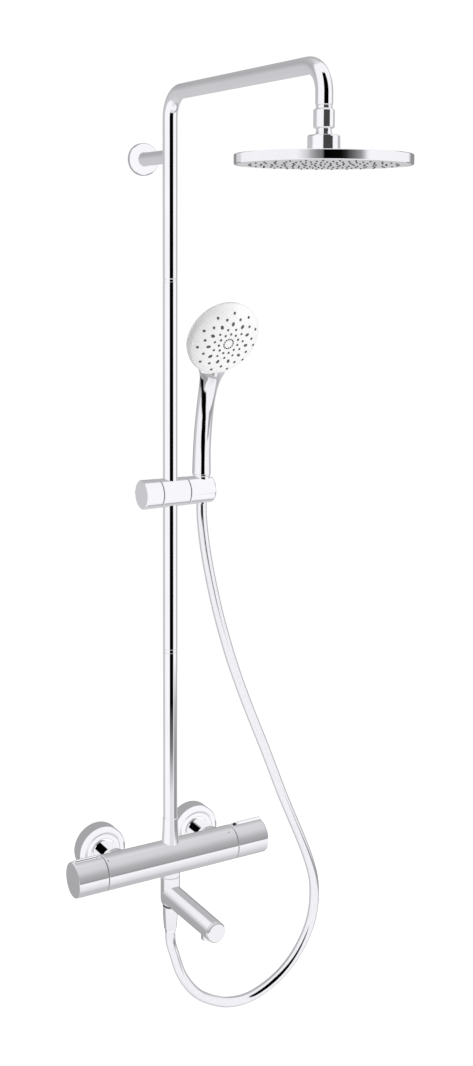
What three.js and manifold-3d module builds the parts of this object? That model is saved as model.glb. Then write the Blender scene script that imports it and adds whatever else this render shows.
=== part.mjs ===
// A thermostatic rainfall shower column, in millimetres.
// +X runs along the mixer bar, +Z is up, and the wall is the plane y = 0, with the column on its -Y side.
// The origin lies on the wall, midway between the two water inlets.
import * as THREE from "three";
import { mergeVertices } from "three/addons/utils/BufferGeometryUtils.js";
import Module from "manifold-3d";

const wasm = await Module();
wasm.setup();

// ---- driving dimensions ----
const GAP = 0.3;
const COLUMN_Y = -84; // the axes of the bar, the riser and the slider
const INLET_X = 75; // half the standard inlet spacing
const BAR_R = 24;
const BAR_LEFT_END = -148.5;
const BAR_LEFT_SEAM = -104.4;
const BAR_RIGHT_SEAM = 98.6;
const BAR_RIGHT_END = 148.5;
const SEAM = 0.7; // half the width of a seam between the bar and a handle
const CARTRIDGE_BORE_R = 20;
const TUBE_R = 10;
const TUBE_BORE_R = 8.8;
const RISER_FOOT_Z = 31;
const LOWER_JOINT = [295, 300];
const UPPER_JOINT = [806.8, 810.8];
const ARM_Z = 1058;
const ARM_BEND_R = 33;
const ARM_END_Z = 1011.8;
const HEAD_Y = -454;
const BALL_Z = 976.7;
const BALL_R = 10.2;
const HEAD_R = 100;
const HEAD_BOTTOM_Z = 946;
const HEAD_TOP_Z = 957.2;
const BRACKET_Z = 974.7;
const SLIDER_Z = 519;
const SLIDER_LEFT_END = -43.9;
const KNOB_SEAM = -18.3;
const HOLDER_SEAM = 23.4;
const SLIDER_RIGHT_END = 63.4;
const SLIDING_BORE_R = 10.5;
const BUSH_R = 12;
const HANDSET_X = 49;
const SPOUT_Z = -54;
const SPOUT_YAW = 0.012; // the spout stands a little towards +X
const HOSE_R = 7.3;
const HOSE_TOP_Z = 499.2;
const HOSE_FOOT_Z = -110;
const FACE_CENTRE = [HANDSET_X, -158.1, 725.8];
const FACE_TILT = 0.47; // how far the spray face looks down
const FACE_YAW = 0.038;
const BACK_SHELL_FROM = 20; // the depth where the white ring ends and the chrome back begins
const NECK_FROM_Z = 678;
const NECK_TO_Z = 704;
const NECK_WIDTH = 1.45; // how many times as wide as deep the neck is where it ends

// ---- solids ----
function solid(geometry) {
  const bare = geometry.clone();
  bare.deleteAttribute("normal");
  bare.deleteAttribute("uv");
  const merged = mergeVertices(bare, 1e-3);
  const vertProperties = merged.attributes.position.array;
  const triVerts = new Uint32Array(merged.index.array);
  const made = new wasm.Manifold(new wasm.Mesh({ numProp: 3, vertProperties, triVerts }));
  if (made.volume() >= 0) return made;
  triVerts.reverse();
  return new wasm.Manifold(new wasm.Mesh({ numProp: 3, vertProperties, triVerts }));
}

function join(...solids) {
  return solids.reduce((whole, next) => whole.add(next));
}

function cut(whole, ...tools) {
  return tools.reduce((rest, tool) => rest.subtract(tool), whole);
}

// Turns a profile of [radius, height] points about +Z.
function turned(profile, segments = 20) {
  const points = profile.map(([radius, height]) => new THREE.Vector2(radius, height));
  return new THREE.LatheGeometry(points, segments).rotateX(Math.PI / 2);
}

function rodProfile(radius, from, to, bevel = 0.5) {
  return [
    [0, from],
    [radius - bevel, from],
    [radius, from + bevel],
    [radius, to - bevel],
    [radius - bevel, to],
    [0, to],
  ];
}

// A bevel of 0 leaves the outer edges square.
function pipeProfile(radius, bore, from, to, bevel = 0) {
  if (!bevel) {
    return [
      [bore, from],
      [radius, from],
      [radius, to],
      [bore, to],
      [bore, from],
    ];
  }
  return [
    [bore, from],
    [radius - bevel, from],
    [radius, from + bevel],
    [radius, to - bevel],
    [radius - bevel, to],
    [bore, to],
    [bore, from],
  ];
}

// The three directions that turned pieces point in: up (+Z), right (+X) and out of the wall (-Y).
function upright(profile, x, y, segments) {
  return solid(turned(profile, segments).translate(x, y, 0));
}

function alongBar(profile, z = 0, segments = 20) {
  return solid(turned(profile, segments).rotateY(Math.PI / 2).translate(0, COLUMN_Y, z));
}

function outOfWall(profile, x, z = 0, segments = 20) {
  return solid(turned(profile, segments).rotateX(Math.PI / 2).translate(x, 0, z));
}

function box(size, centre) {
  return solid(new THREE.BoxGeometry(...size).translate(...centre));
}

// Lays a piece that was turned about +Z along a path in a plane of constant x.
function bent(geometry, placeAt) {
  const position = geometry.attributes.position;
  for (let i = 0; i < position.count; i++) {
    const { y, z, tangentY, tangentZ } = placeAt(position.getZ(i));
    const sideways = position.getY(i);
    position.setXYZ(i, position.getX(i), y + sideways * tangentZ, z - sideways * tangentY);
  }
  return geometry;
}

// ---- materials and nodes ----
const FINISHES = {
  chrome: { color: 0xdfe2e5, roughness: 0.08, metalness: 1 },
  brass: { color: 0xc9a35a, roughness: 0.35, metalness: 1 },
  steel: { color: 0xb4b7ba, roughness: 0.3, metalness: 1 },
  whitePlastic: { color: 0xf2f2f0, roughness: 0.35, metalness: 0 },
  greyPlastic: { color: 0xa9abad, roughness: 0.45, metalness: 0 },
  darkPlastic: { color: 0x202224, roughness: 0.5, metalness: 0 },
  rubber: { color: 0x2c2c2e, roughness: 0.8, metalness: 0 },
  silicone: { color: 0x5f6469, roughness: 0.6, metalness: 0 },
};

const column = new THREE.Group();

function node(name, finish, made) {
  const { vertProperties, triVerts } = made.getMesh();
  const geometry = new THREE.BufferGeometry();
  geometry.setAttribute("position", new THREE.BufferAttribute(vertProperties, 3));
  geometry.setIndex(new THREE.BufferAttribute(triVerts, 1));
  geometry.computeVertexNormals();
  const mesh = new THREE.Mesh(geometry, new THREE.MeshStandardMaterial(FINISHES[finish]));
  mesh.name = name;
  column.add(mesh);
}

// ---- the two connections to the wall ----
function wallConnection(side, x) {
  const rose = [
    [33, 0],
    [35, 0],
    [35, 20.8],
    [33.8, 22.6],
    [31.5, 23.5],
    [27.6, 23.5],
    [26.8, 22.4],
    [26, 22.4],
    [25.2, 24.4],
    [19.6, 24.4],
    [18.6, 23.6],
    [18.6, 21.4],
    [31, 21.4],
    [33, 19.4],
    [33, 0],
  ];
  node("wall_rose_" + side, "chrome", outOfWall(rose, x, 0, 32));

  const union = [
    [7.5, 0],
    [10.4, 0],
    [10.4, 14],
    [14, 15],
    [14, 20],
    [12.8, 21],
    [12.8, 33],
    [15.2, 34],
    [15.2, 46],
    [7.5, 46],
    [7.5, 0],
  ];
  node("eccentric_union_" + side, "chrome", outOfWall(union, x, 0, 16));
  node("inlet_washer_" + side, "rubber", outOfWall(pipeProfile(14.6, 8, 46.3, 48.3), x, 0, 16));

  const nut = [
    [15.5, 27],
    [17, 27],
    [18, 28],
    [18, 53.8],
    [17, 54.8],
    [12.5, 54.8],
    [12.5, 52.3],
    [15.5, 52.3],
    [15.5, 27],
  ];
  node("union_nut_" + side, "chrome", outOfWall(nut, x, 0, 24));
}

// ---- the mixer ----
function inletTail(x) {
  const tail = [
    [0, 48.6],
    [15, 48.6],
    [15, 52],
    [12.2, 52],
    [12.2, 55.2],
    [16, 55.2],
    [18.5, 59],
    [19.5, 64],
    [19.5, 74],
    [0, 74],
  ];
  return outOfWall(tail, x);
}

function mixer() {
  const left = BAR_LEFT_SEAM + SEAM;
  const right = BAR_RIGHT_SEAM - SEAM;
  const socket = [
    [0, 12],
    [13.4, 12],
    [12.2, 25],
    [11, 42],
    [10.7, 58],
    [0, 58],
  ];
  const underneath = [
    [0, -27],
    [13.2, -27],
    [13.65, -26.5],
    [13.65, -12],
    [0, -12],
  ];
  const body = join(
    alongBar(rodProfile(BAR_R, left, right, 0.5), 0, 36),
    inletTail(-INLET_X),
    inletTail(INLET_X),
    upright(socket, 0, COLUMN_Y, 24),
    upright(underneath, 0, COLUMN_Y, 24),
  );
  const inlets = [-INLET_X, INLET_X].map((x) => outOfWall(rodProfile(8.5, 45, 74, 0.1), x, 0, 12));
  const waterway = upright(rodProfile(8, -30, 40, 0.1), 0, COLUMN_Y, 12);
  const riserSocket = upright(rodProfile(TUBE_R + GAP, RISER_FOOT_Z - GAP, 60, 0.1), 0, COLUMN_Y, 24);
  const leftBore = alongBar(rodProfile(CARTRIDGE_BORE_R, left - 5, -30, 0.1), 0, 20);
  const rightBore = alongBar(rodProfile(CARTRIDGE_BORE_R, 30, right + 5, 0.1), 0, 20);
  node("mixer_body", "chrome", cut(body, leftBore, rightBore, waterway, riserSocket, ...inlets));

  const thermostat = [
    [0, -117],
    [4.8, -117],
    [4.8, -103],
    [19.6, -103],
    [19.6, -66],
    [14, -62],
    [14, -34],
    [0, -34],
  ];
  node("thermostatic_cartridge", "brass", alongBar(thermostat));
  const flowValve = [
    [0, 34],
    [14, 34],
    [14, 56],
    [19.6, 60],
    [19.6, 97],
    [4.8, 97],
    [4.8, 111],
    [0, 111],
  ];
  node("flow_cartridge", "brass", alongBar(flowValve));
  const half = SEAM - GAP;
  const leftRing = pipeProfile(22.6, 6, BAR_LEFT_SEAM - half, BAR_LEFT_SEAM + half);
  const rightRing = pipeProfile(22.6, 6, BAR_RIGHT_SEAM - half, BAR_RIGHT_SEAM + half);
  node("temperature_stop_ring", "darkPlastic", alongBar(leftRing));
  node("flow_stop_ring", "darkPlastic", alongBar(rightRing));
}

// A cup-shaped handle with a finger fin on top, from its seam to its end. sign is -1 for the left handle.
function handle(name, seam, end, bevel, buttonName, buttonFinish) {
  const sign = Math.sign(end);
  const length = Math.abs(end - seam) - SEAM;
  const cup = [
    [0, length],
    [BAR_R - bevel, length],
    [BAR_R - bevel * 0.3, length - bevel * 0.3],
    [BAR_R, length - bevel],
    [BAR_R, 0.5],
    [BAR_R - 0.5, 0],
    [20.5, 0],
    [20.5, length - 6],
    [8, length - 6],
    [8, 2],
    [5.1, 2],
    [5.1, length - 24],
    [0, length - 24],
  ];
  const face = seam + sign * SEAM;
  const turn = (sign * Math.PI) / 2;
  const shell = solid(turned(cup, 36).rotateY(turn).translate(face, COLUMN_Y, 0));
  const onTop = (profile) => solid(turned(profile, 10).rotateY(turn).translate(face, COLUMN_Y, BAR_R + 1.4));
  const finR = 2.4;
  const finFrom = 8.4;
  const finTo = length - 1.6;
  const finMiddle = face + (sign * (finFrom + finTo)) / 2;
  const fin = onTop(rodProfile(finR, finFrom, finTo, 0.8));
  const web = box([finTo - finFrom - 1, finR * 1.6, 5], [finMiddle, COLUMN_Y, BAR_R - 0.4]);
  const buttonX = face + sign * 4.8;
  const pocket = box([6.2, 4.6, 20], [buttonX, COLUMN_Y, BAR_R]);
  node(name, "chrome", cut(join(shell, fin, web), pocket));
  const cap = onTop(rodProfile(2.1, 2, 7.6, 0.5));
  const stem = box([4.6, 3.2, 5.4], [buttonX, COLUMN_Y, BAR_R - 0.6]);
  node(buttonName, buttonFinish, join(cap, stem));
}

// ---- the riser and its arm ----
function riser() {
  const wall = (from, to) => upright(pipeProfile(TUBE_R, TUBE_BORE_R, from, to), 0, COLUMN_Y, 24);
  const connector = ([from, to]) => {
    const profile = [
      [6.6, from - 18],
      [8.4, from - 18],
      [8.4, from + GAP],
      [9.8, from + GAP],
      [9.8, to - GAP],
      [8.4, to - GAP],
      [8.4, to + 18],
      [6.6, to + 18],
      [6.6, from - 18],
    ];
    return upright(profile, 0, COLUMN_Y);
  };
  node("riser_lower_tube", "chrome", wall(RISER_FOOT_Z, LOWER_JOINT[0]));
  node("riser_lower_connector", "chrome", connector(LOWER_JOINT));
  node("riser_middle_tube", "chrome", wall(LOWER_JOINT[1], UPPER_JOINT[0]));
  node("riser_upper_connector", "chrome", connector(UPPER_JOINT));
}

// The lengths of the head arm's first upright run, of each quarter bend and of the level run between them.
const ARM_RISE = ARM_Z - ARM_BEND_R - UPPER_JOINT[1];
const ARM_BEND = (ARM_BEND_R * Math.PI) / 2;
const ARM_REACH = COLUMN_Y - HEAD_Y - 2 * ARM_BEND_R;

// The head arm's centreline: up, a quarter bend, out over the bath, a second quarter bend, and down.
function armPlace(distance) {
  let s = distance;
  if (s <= ARM_RISE) return { y: COLUMN_Y, z: UPPER_JOINT[1] + s, tangentY: 0, tangentZ: 1 };
  s -= ARM_RISE;
  if (s <= ARM_BEND) {
    const angle = s / ARM_BEND_R;
    return {
      y: COLUMN_Y - ARM_BEND_R * (1 - Math.cos(angle)),
      z: ARM_Z - ARM_BEND_R * (1 - Math.sin(angle)),
      tangentY: -Math.sin(angle),
      tangentZ: Math.cos(angle),
    };
  }
  s -= ARM_BEND;
  if (s <= ARM_REACH) return { y: COLUMN_Y - ARM_BEND_R - s, z: ARM_Z, tangentY: -1, tangentZ: 0 };
  s -= ARM_REACH;
  if (s <= ARM_BEND) {
    const angle = s / ARM_BEND_R;
    return {
      y: HEAD_Y + ARM_BEND_R * (1 - Math.sin(angle)),
      z: ARM_Z - ARM_BEND_R * (1 - Math.cos(angle)),
      tangentY: -Math.cos(angle),
      tangentZ: -Math.sin(angle),
    };
  }
  s -= ARM_BEND;
  return { y: HEAD_Y, z: ARM_Z - ARM_BEND_R - s, tangentY: 0, tangentZ: -1 };
}

function headArm() {
  const drop = ARM_Z - ARM_BEND_R - ARM_END_Z;
  const steps = 7;
  const quarter = Array.from({ length: steps + 1 }, (_, i) => (ARM_BEND * i) / steps);
  const stations = [
    0,
    ...quarter.map((s) => ARM_RISE + s),
    ...quarter.map((s) => ARM_RISE + ARM_BEND + ARM_REACH + s),
    ARM_RISE + 2 * ARM_BEND + ARM_REACH + drop,
  ];
  const outside = stations.map((s) => [TUBE_R, s]);
  const inside = stations.map((s) => [TUBE_BORE_R, s]).reverse();
  const tube = solid(bent(turned([...outside, ...inside, outside[0]], 20), armPlace));
  const screwHole = outOfWall(rodProfile(2.9, 70, 80, 0.1), 0, BRACKET_Z, 10);
  node("head_arm", "chrome", cut(tube, screwHole));
}

// ---- the wall bracket ----
function wallBracket() {
  const rosette = [
    [20.8, 0],
    [22.5, 0],
    [22.5, 6],
    [21.6, 7.4],
    [20.4, 7.8],
    [9.6, 7.8],
    [9.6, 6.2],
    [20.8, 6.2],
    [20.8, 0],
  ];
  node("bracket_rosette", "chrome", outOfWall(rosette, 0, BRACKET_Z, 28));
  node("bracket_wall_plate", "steel", outOfWall(pipeProfile(15, 2.7, 0, 3.6), 0, BRACKET_Z, 16));
  const screw = [
    [0, 0],
    [2.3, 0],
    [2.3, 3.9],
    [4.6, 3.9],
    [4.6, 5.4],
    [3, 6.6],
    [0, 6.6],
  ];
  node("bracket_wall_screw", "steel", outOfWall(screw, 0, BRACKET_Z, 12));
  const arm = [
    [5.6, 4],
    [9.25, 4],
    [9.25, 82],
    [3.1, 82],
    [3.1, 69],
    [5.6, 69],
    [5.6, 4],
  ];
  const saddle = upright(rodProfile(TUBE_R + GAP, 940, 1010, 0.1), 0, COLUMN_Y, 24);
  node("bracket_arm", "chrome", cut(outOfWall(arm, 0, BRACKET_Z), saddle));
  const tubeScrew = [
    [0, 65],
    [5, 65],
    [5, 68.7],
    [2.6, 68.7],
    [2.6, 80],
    [0, 80],
  ];
  node("bracket_tube_screw", "steel", outOfWall(tubeScrew, 0, BRACKET_Z, 10));
}

// ---- the rain head and its ball joint ----
function headJoint() {
  const atHead = (profile, segments = 24) => upright(profile, 0, HEAD_Y, segments);
  node("arm_end_ring", "chrome", atHead(pipeProfile(9.3, 6, 1007.6, 1011.5, 0.6)));
  const sleeve = [
    [7.3, 986],
    [10.8, 986],
    [12, 987.3],
    [12, 1005.8],
    [10.6, 1007.2],
    [7.3, 1007.2],
    [7.3, 986],
  ];
  node("swivel_sleeve", "chrome", atHead(sleeve));
  const ball = Array.from({ length: 6 }, (_, i) => {
    const angle = -Math.PI / 2 + (i / 5) * (Math.PI / 2 + 0.5);
    return [Math.max(0, BALL_R * Math.cos(angle)), BALL_Z + BALL_R * Math.sin(angle)];
  });
  ball[0][0] = 0;
  const stud = [...ball, [8.8, BALL_Z + 5.3], [8.8, 985.7], [7, 985.7], [7, 1005], [0, 1005]];
  node("ball_stud", "chrome", atHead(stud));

  const bowl = (radius, from, to, steps) =>
    Array.from({ length: steps + 1 }, (_, i) => {
      const angle = from + ((to - from) * i) / steps;
      return [radius * Math.cos(angle), BALL_Z + radius * Math.sin(angle)];
    });
  const lining = [...bowl(10.6, -1.1, -0.28, 3), ...bowl(11.3, -0.28, -1.1, 3)];
  node("ball_liner", "whitePlastic", atHead([...lining, lining[0]], 16));
  const inner = bowl(11.9, -1.05, 0.02, 4);
  const seat = [
    ...inner,
    [13.5, inner.at(-1)[1]],
    [13.5, BALL_Z - 12.5],
    [inner[0][0], BALL_Z - 12.5],
    inner[0],
  ];
  node("ball_seat", "darkPlastic", atHead(seat, 20));

  const boss = [
    [13.8, HEAD_TOP_Z + GAP],
    [18.8, HEAD_TOP_Z + GAP],
    [18.4, 968],
    [18.3, 976.8],
    [17.6, 978.2],
    [16.4, 978.7],
    [10.5, 978.7],
    [10.5, 977.4],
    [13.8, 977.4],
    [13.8, HEAD_TOP_Z + GAP],
  ];
  node("head_boss", "chrome", atHead(boss, 28));
  node("head_inlet_seal", "rubber", atHead(pipeProfile(13.4, 7.5, HEAD_TOP_Z + 0.4, 963.8), 16));
}

function rainHead() {
  const shell = [
    [7, HEAD_TOP_Z - 2.4],
    [97.2, HEAD_TOP_Z - 2.4],
    [97.6, HEAD_TOP_Z - 3],
    [97.6, HEAD_BOTTOM_Z],
    [99.3, HEAD_BOTTOM_Z],
    [HEAD_R, HEAD_BOTTOM_Z + 0.8],
    [HEAD_R, HEAD_TOP_Z - 0.8],
    [99.3, HEAD_TOP_Z],
    [7, HEAD_TOP_Z],
    [7, HEAD_TOP_Z - 2.4],
  ];
  node("rain_head_shell", "chrome", upright(shell, 0, HEAD_Y, 48));
  const plate = [
    [0, HEAD_BOTTOM_Z + 0.2],
    [97.2, HEAD_BOTTOM_Z + 0.2],
    [97.2, HEAD_BOTTOM_Z + 2.6],
    [0, HEAD_BOTTOM_Z + 2.6],
  ];
  node("rain_head_spray_plate", "chrome", upright(plate, 0, HEAD_Y, 40));
  const mat = rodProfile(94, HEAD_BOTTOM_Z + 2.9, HEAD_BOTTOM_Z + 4.4, 0.2);
  node("rain_head_nozzle_mat", "silicone", upright(mat, 0, HEAD_Y, 24));
}

// ---- the swivelling spout and the hose outlet ----
function spout() {
  const sleeve = [
    [9.5, -27.3],
    [13.2, -27.3],
    [13.65, -27.8],
    [13.65, -60],
    [12.8, -65.5],
    [11, -69],
    [9.5, -69.4],
    [9.5, -27.3],
  ];
  const core = rodProfile(13.6, -60, -30, 0.2);
  const tube = [
    [0, 0],
    [14.8, 0],
    [13.95, 127.6],
    [0, 127.6],
  ];
  const channel = rodProfile(10, 8, 120, 1);
  const aim = (profile, segments) => {
    const lying = turned(profile, segments).rotateX(Math.PI / 2).rotateZ(SPOUT_YAW);
    return solid(lying.translate(0, COLUMN_Y, SPOUT_Z));
  };
  const bore = upright(rodProfile(9.5, -80, -20, 0.1), 0, COLUMN_Y, 20);
  const outletReach = 108;
  const outletX = outletReach * Math.sin(SPOUT_YAW);
  const outletY = COLUMN_Y - outletReach * Math.cos(SPOUT_YAW);
  const outlet = upright(rodProfile(10.3, -80, SPOUT_Z - 2, 0.1), outletX, outletY, 16);
  const outside = join(upright(sleeve, 0, COLUMN_Y, 24), upright(core, 0, COLUMN_Y, 24), aim(tube, 24));
  node("spout_body", "chrome", cut(outside, bore, aim(channel, 12), outlet));
  const cap = [
    [0, 127.9],
    [13.9, 127.9],
    [13.85, 129.6],
    [13.2, 131],
    [12, 131.6],
    [0, 131.6],
  ];
  node("spout_end_cap", "chrome", aim(cap, 24));
  const aerator = pipeProfile(9.9, 6.5, -71, SPOUT_Z - 4);
  node("spout_aerator", "greyPlastic", upright(aerator, outletX, outletY, 16));
}

function hoseOutlet() {
  const here = (profile, segments = 18) => upright(profile, 0, COLUMN_Y, segments);
  const core = [
    [5, -82],
    [8.6, -82],
    [9, -81.5],
    [9, -68],
    [7.7, -68],
    [7.7, -64],
    [9, -64],
    [9, -27.4],
    [7.7, -27.4],
    [7.7, -14],
    [5, -14],
    [5, -82],
  ];
  node("outlet_core", "brass", here(core));
  node("spout_o_ring", "rubber", here(pipeProfile(9.2, 8, -67.6, -64.4)));
  node("spout_retaining_ring", "darkPlastic", here(pipeProfile(10.8, 9.3, -71.4, -69.8)));
  const nut = [
    [9.3, -71.8],
    [10.2, -71.8],
    [10.5, -72.3],
    [10.5, -84],
    [9, -104],
    [7.9, -104],
    [7.9, -86],
    [9.3, -84.8],
    [9.3, -71.8],
  ];
  node("hose_nut_lower", "chrome", here(nut));
  node("hose_ferrule_lower", "chrome", here(pipeProfile(7.5, 4.2, HOSE_FOOT_Z + GAP, -85.2)));
}

// ---- the slider on the riser ----
function slider() {
  const bush = upright(pipeProfile(BUSH_R, SLIDING_BORE_R, SLIDER_Z - 14.5, SLIDER_Z + 14.5), 0, COLUMN_Y);
  node("slider_bush", "darkPlastic", bush);

  const knobProfile = [
    [0, SLIDER_LEFT_END],
    [19, SLIDER_LEFT_END],
    [20.2, SLIDER_LEFT_END + 1.2],
    [19.9, KNOB_SEAM - 1.3],
    [19.4, KNOB_SEAM - 0.9],
    [3.4, KNOB_SEAM - 0.9],
    [3.4, KNOB_SEAM - 16],
    [0, KNOB_SEAM - 16],
  ];
  const nub = box([3, 4, 3], [SLIDER_LEFT_END + 2.4, COLUMN_Y + 20.6, SLIDER_Z]);
  node("clamp_knob", "chrome", join(alongBar(knobProfile, SLIDER_Z, 28), nub));
  const screw = rodProfile(3.1, KNOB_SEAM - 15.6, -12.6, 0.4);
  node("clamp_screw", "steel", alongBar(screw, SLIDER_Z, 10));
  const knobWasher = pipeProfile(18.6, 3.5, KNOB_SEAM - 0.6, KNOB_SEAM + 0.6);
  node("knob_washer", "darkPlastic", alongBar(knobWasher, SLIDER_Z));

  const clampProfile = rodProfile(19.7, KNOB_SEAM + 0.9, HOLDER_SEAM - 0.9, 0.5);
  const clamp = cut(
    alongBar(clampProfile, SLIDER_Z, 28),
    upright(rodProfile(SLIDING_BORE_R, SLIDER_Z - 30, SLIDER_Z + 30, 0.1), 0, COLUMN_Y, 24),
    upright(rodProfile(BUSH_R + GAP, SLIDER_Z - 14.8, SLIDER_Z + 14.8, 0.1), 0, COLUMN_Y),
    alongBar(rodProfile(3.5, KNOB_SEAM - 5, 0, 0.1), SLIDER_Z, 12),
    alongBar(rodProfile(5.3, 13.6, HOLDER_SEAM + 5, 0.1), SLIDER_Z, 14),
  );
  node("slider_clamp", "chrome", clamp);
  node("holder_pivot", "steel", alongBar(rodProfile(5, 14, HOLDER_SEAM + 9, 0.4), SLIDER_Z, 14));
  const holderWasher = pipeProfile(18.4, 5.4, HOLDER_SEAM - 0.6, HOLDER_SEAM + 0.6);
  node("holder_washer", "darkPlastic", alongBar(holderWasher, SLIDER_Z));

  const holderProfile = [
    [0, HOLDER_SEAM + 0.9],
    [19, HOLDER_SEAM + 0.9],
    [19.5, HOLDER_SEAM + 1.4],
    [19.3, SLIDER_RIGHT_END - 3],
    [18.4, SLIDER_RIGHT_END - 1],
    [16.5, SLIDER_RIGHT_END],
    [0, SLIDER_RIGHT_END],
  ];
  const cone = [
    [0, SLIDER_Z - 25],
    [10, SLIDER_Z - 25],
    [12.5, SLIDER_Z + 25],
    [0, SLIDER_Z + 25],
  ];
  const holder = cut(
    alongBar(holderProfile, SLIDER_Z, 28),
    upright(cone, HANDSET_X, COLUMN_Y),
    box([30, 16, 60], [HANDSET_X + 15, COLUMN_Y, SLIDER_Z]),
    alongBar(rodProfile(5.3, 10, HOLDER_SEAM + 9.4, 0.1), SLIDER_Z, 14),
  );
  node("handset_holder", "chrome", holder);
}

// ---- the handset ----
const handleLine = new THREE.SplineCurve([
  new THREE.Vector2(-84, 541.3),
  new THREE.Vector2(-84.5, 565),
  new THREE.Vector2(-86.2, 588),
  new THREE.Vector2(-90.4, 616.5),
  new THREE.Vector2(-96.8, 645),
  new THREE.Vector2(-107.5, 675),
  new THREE.Vector2(-123, 704),
]);

function handlePlace(share) {
  const spot = handleLine.getPoint(THREE.MathUtils.clamp(share, 0, 1));
  const tangent = handleLine.getTangent(THREE.MathUtils.clamp(share, 0.01, 0.99));
  return { y: spot.x, z: spot.y, tangentY: tangent.x, tangentZ: tangent.y };
}

// The neck widens sideways where it runs into the back shell.
function widened(geometry) {
  const position = geometry.attributes.position;
  for (let i = 0; i < position.count; i++) {
    const share = THREE.MathUtils.clamp((position.getZ(i) - NECK_FROM_Z) / (NECK_TO_Z - NECK_FROM_Z), 0, 1);
    position.setX(i, position.getX(i) * (1 + (NECK_WIDTH - 1) * share));
  }
  return geometry;
}

function alongHandle(radii, segments) {
  const last = radii.length - 1;
  const wall = radii.map((radius, i) => [radius, i / last]);
  const rod = bent(turned([[0, 0], ...wall, [0, 1]], segments), handlePlace);
  return solid(widened(rod).translate(HANDSET_X, 0, 0));
}

// Turns a profile of [radius, depth behind the face's middle] about the spray face's own axis.
function behindFace(profile, segments = 28) {
  const geometry = turned(profile, segments).rotateX(-Math.PI / 2 + FACE_TILT).rotateZ(FACE_YAW);
  return solid(geometry.translate(...FACE_CENTRE));
}

function handset() {
  const handleRadii = [13, 12.8, 12.6, 12.4, 12.3, 12.2, 12.2, 12.1, 12, 12.1, 12.4, 13.2, 15, 18.4, 22.5];
  const back = [
    [0, 39],
    [14, 38.4],
    [27, 36],
    [38, 32],
    [47, 26.6],
    [51.6, 22],
    [52, BACK_SHELL_FROM],
    [0, BACK_SHELL_FROM],
  ];
  const cavity = [
    [0, 12],
    [48, 12],
    [48, 22],
    [36, 29],
    [20, 34],
    [0, 35.6],
  ];
  const spigotProfile = [
    [0, 528],
    [9.6, 528],
    [10, 528.4],
    [10, 542.5],
    [0, 542.5],
  ];
  const spigot = upright(spigotProfile, HANDSET_X, COLUMN_Y, 20);
  const channelRadii = Array(9).fill(7);
  const mouth = upright(rodProfile(7, 520, 544, 0.1), HANDSET_X, COLUMN_Y, 12);
  const front = behindFace(rodProfile(58.5, -30, BACK_SHELL_FROM, 0.1));
  const outside = join(cut(alongHandle(handleRadii, 20), front), behindFace(back), spigot);
  node("handset_shell", "chrome", cut(outside, behindFace(cavity), alongHandle(channelRadii, 12), mouth));

  const selector = [
    [48.4, 7.2],
    [50.4, 7.4],
    [52.2, 8.8],
    [53, 11],
    [53.2, 14],
    [52.6, 18],
    [52, BACK_SHELL_FROM - GAP],
    [48.4, BACK_SHELL_FROM - GAP],
    [48.4, 7.2],
  ];
  const face = [
    [0, 0],
    [14.6, 0.2],
    [29, 1.6],
    [37, 3],
    [44, 5.2],
    [47.4, 7],
    [48.1, 8],
    [48.1, 11.2],
    [0, 11.2],
  ];
  node("spray_selector_ring", "whitePlastic", join(behindFace(selector, 32), solid(selectorTab())));
  node("handset_faceplate", "whitePlastic", behindFace(face, 32));
  node("handset_nozzle_mat", "silicone", behindFace(rodProfile(46, 12.4, 14.4, 0.3), 20));
}

// The small finger tab at the lowest point of the selector ring.
function selectorTab() {
  const tab = new THREE.BoxGeometry(4.6, 7, 6).translate(0, 12, -54);
  tab.rotateX(FACE_TILT).rotateZ(FACE_YAW);
  return tab.translate(...FACE_CENTRE);
}

// ---- the hose ----
const hoseLine = new THREE.CatmullRomCurve3(
  [
    [49, -84, HOSE_TOP_Z],
    [49.2, -84.6, 480],
    [52.3, -86.2, 446],
    [57, -88.6, 412],
    [62.8, -91.4, 379],
    [69.6, -94.7, 345],
    [77.6, -98.1, 312],
    [86.9, -101.6, 278],
    [97.4, -105, 245],
    [109.3, -108.4, 211],
    [122.4, -111.3, 177],
    [135.8, -113.9, 143],
    [149.2, -115.9, 108],
    [163.2, -117.3, 72],
    [178.8, -117.9, 36],
    [195.3, -117.9, -1],
    [210.6, -117, -38],
    [220, -115.8, -68],
    [223.1, -114.5, -97],
    [219.8, -112.2, -133],
    [206.8, -109.7, -166],
    [187.4, -106.9, -194],
    [161.9, -103.8, -216],
    [131.6, -100.5, -231],
    [114.4, -98.7, -235],
    [95.8, -96.8, -235],
    [76.8, -94.8, -231],
    [41.8, -90.9, -211.5],
    [17.9, -87.6, -180],
    [5.6, -85.2, -144],
    [0.6, -84.1, -125],
    [0, -84, HOSE_FOOT_Z],
  ].map(([x, y, z]) => new THREE.Vector3(x, y, z)),
  false,
  "centripetal",
);

function circle(radius, sides) {
  const corners = Array.from({ length: sides }, (_, i) => {
    const angle = (2 * Math.PI * i) / sides;
    return new THREE.Vector2(radius * Math.cos(angle), radius * Math.sin(angle));
  });
  return new THREE.Shape(corners);
}

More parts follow.
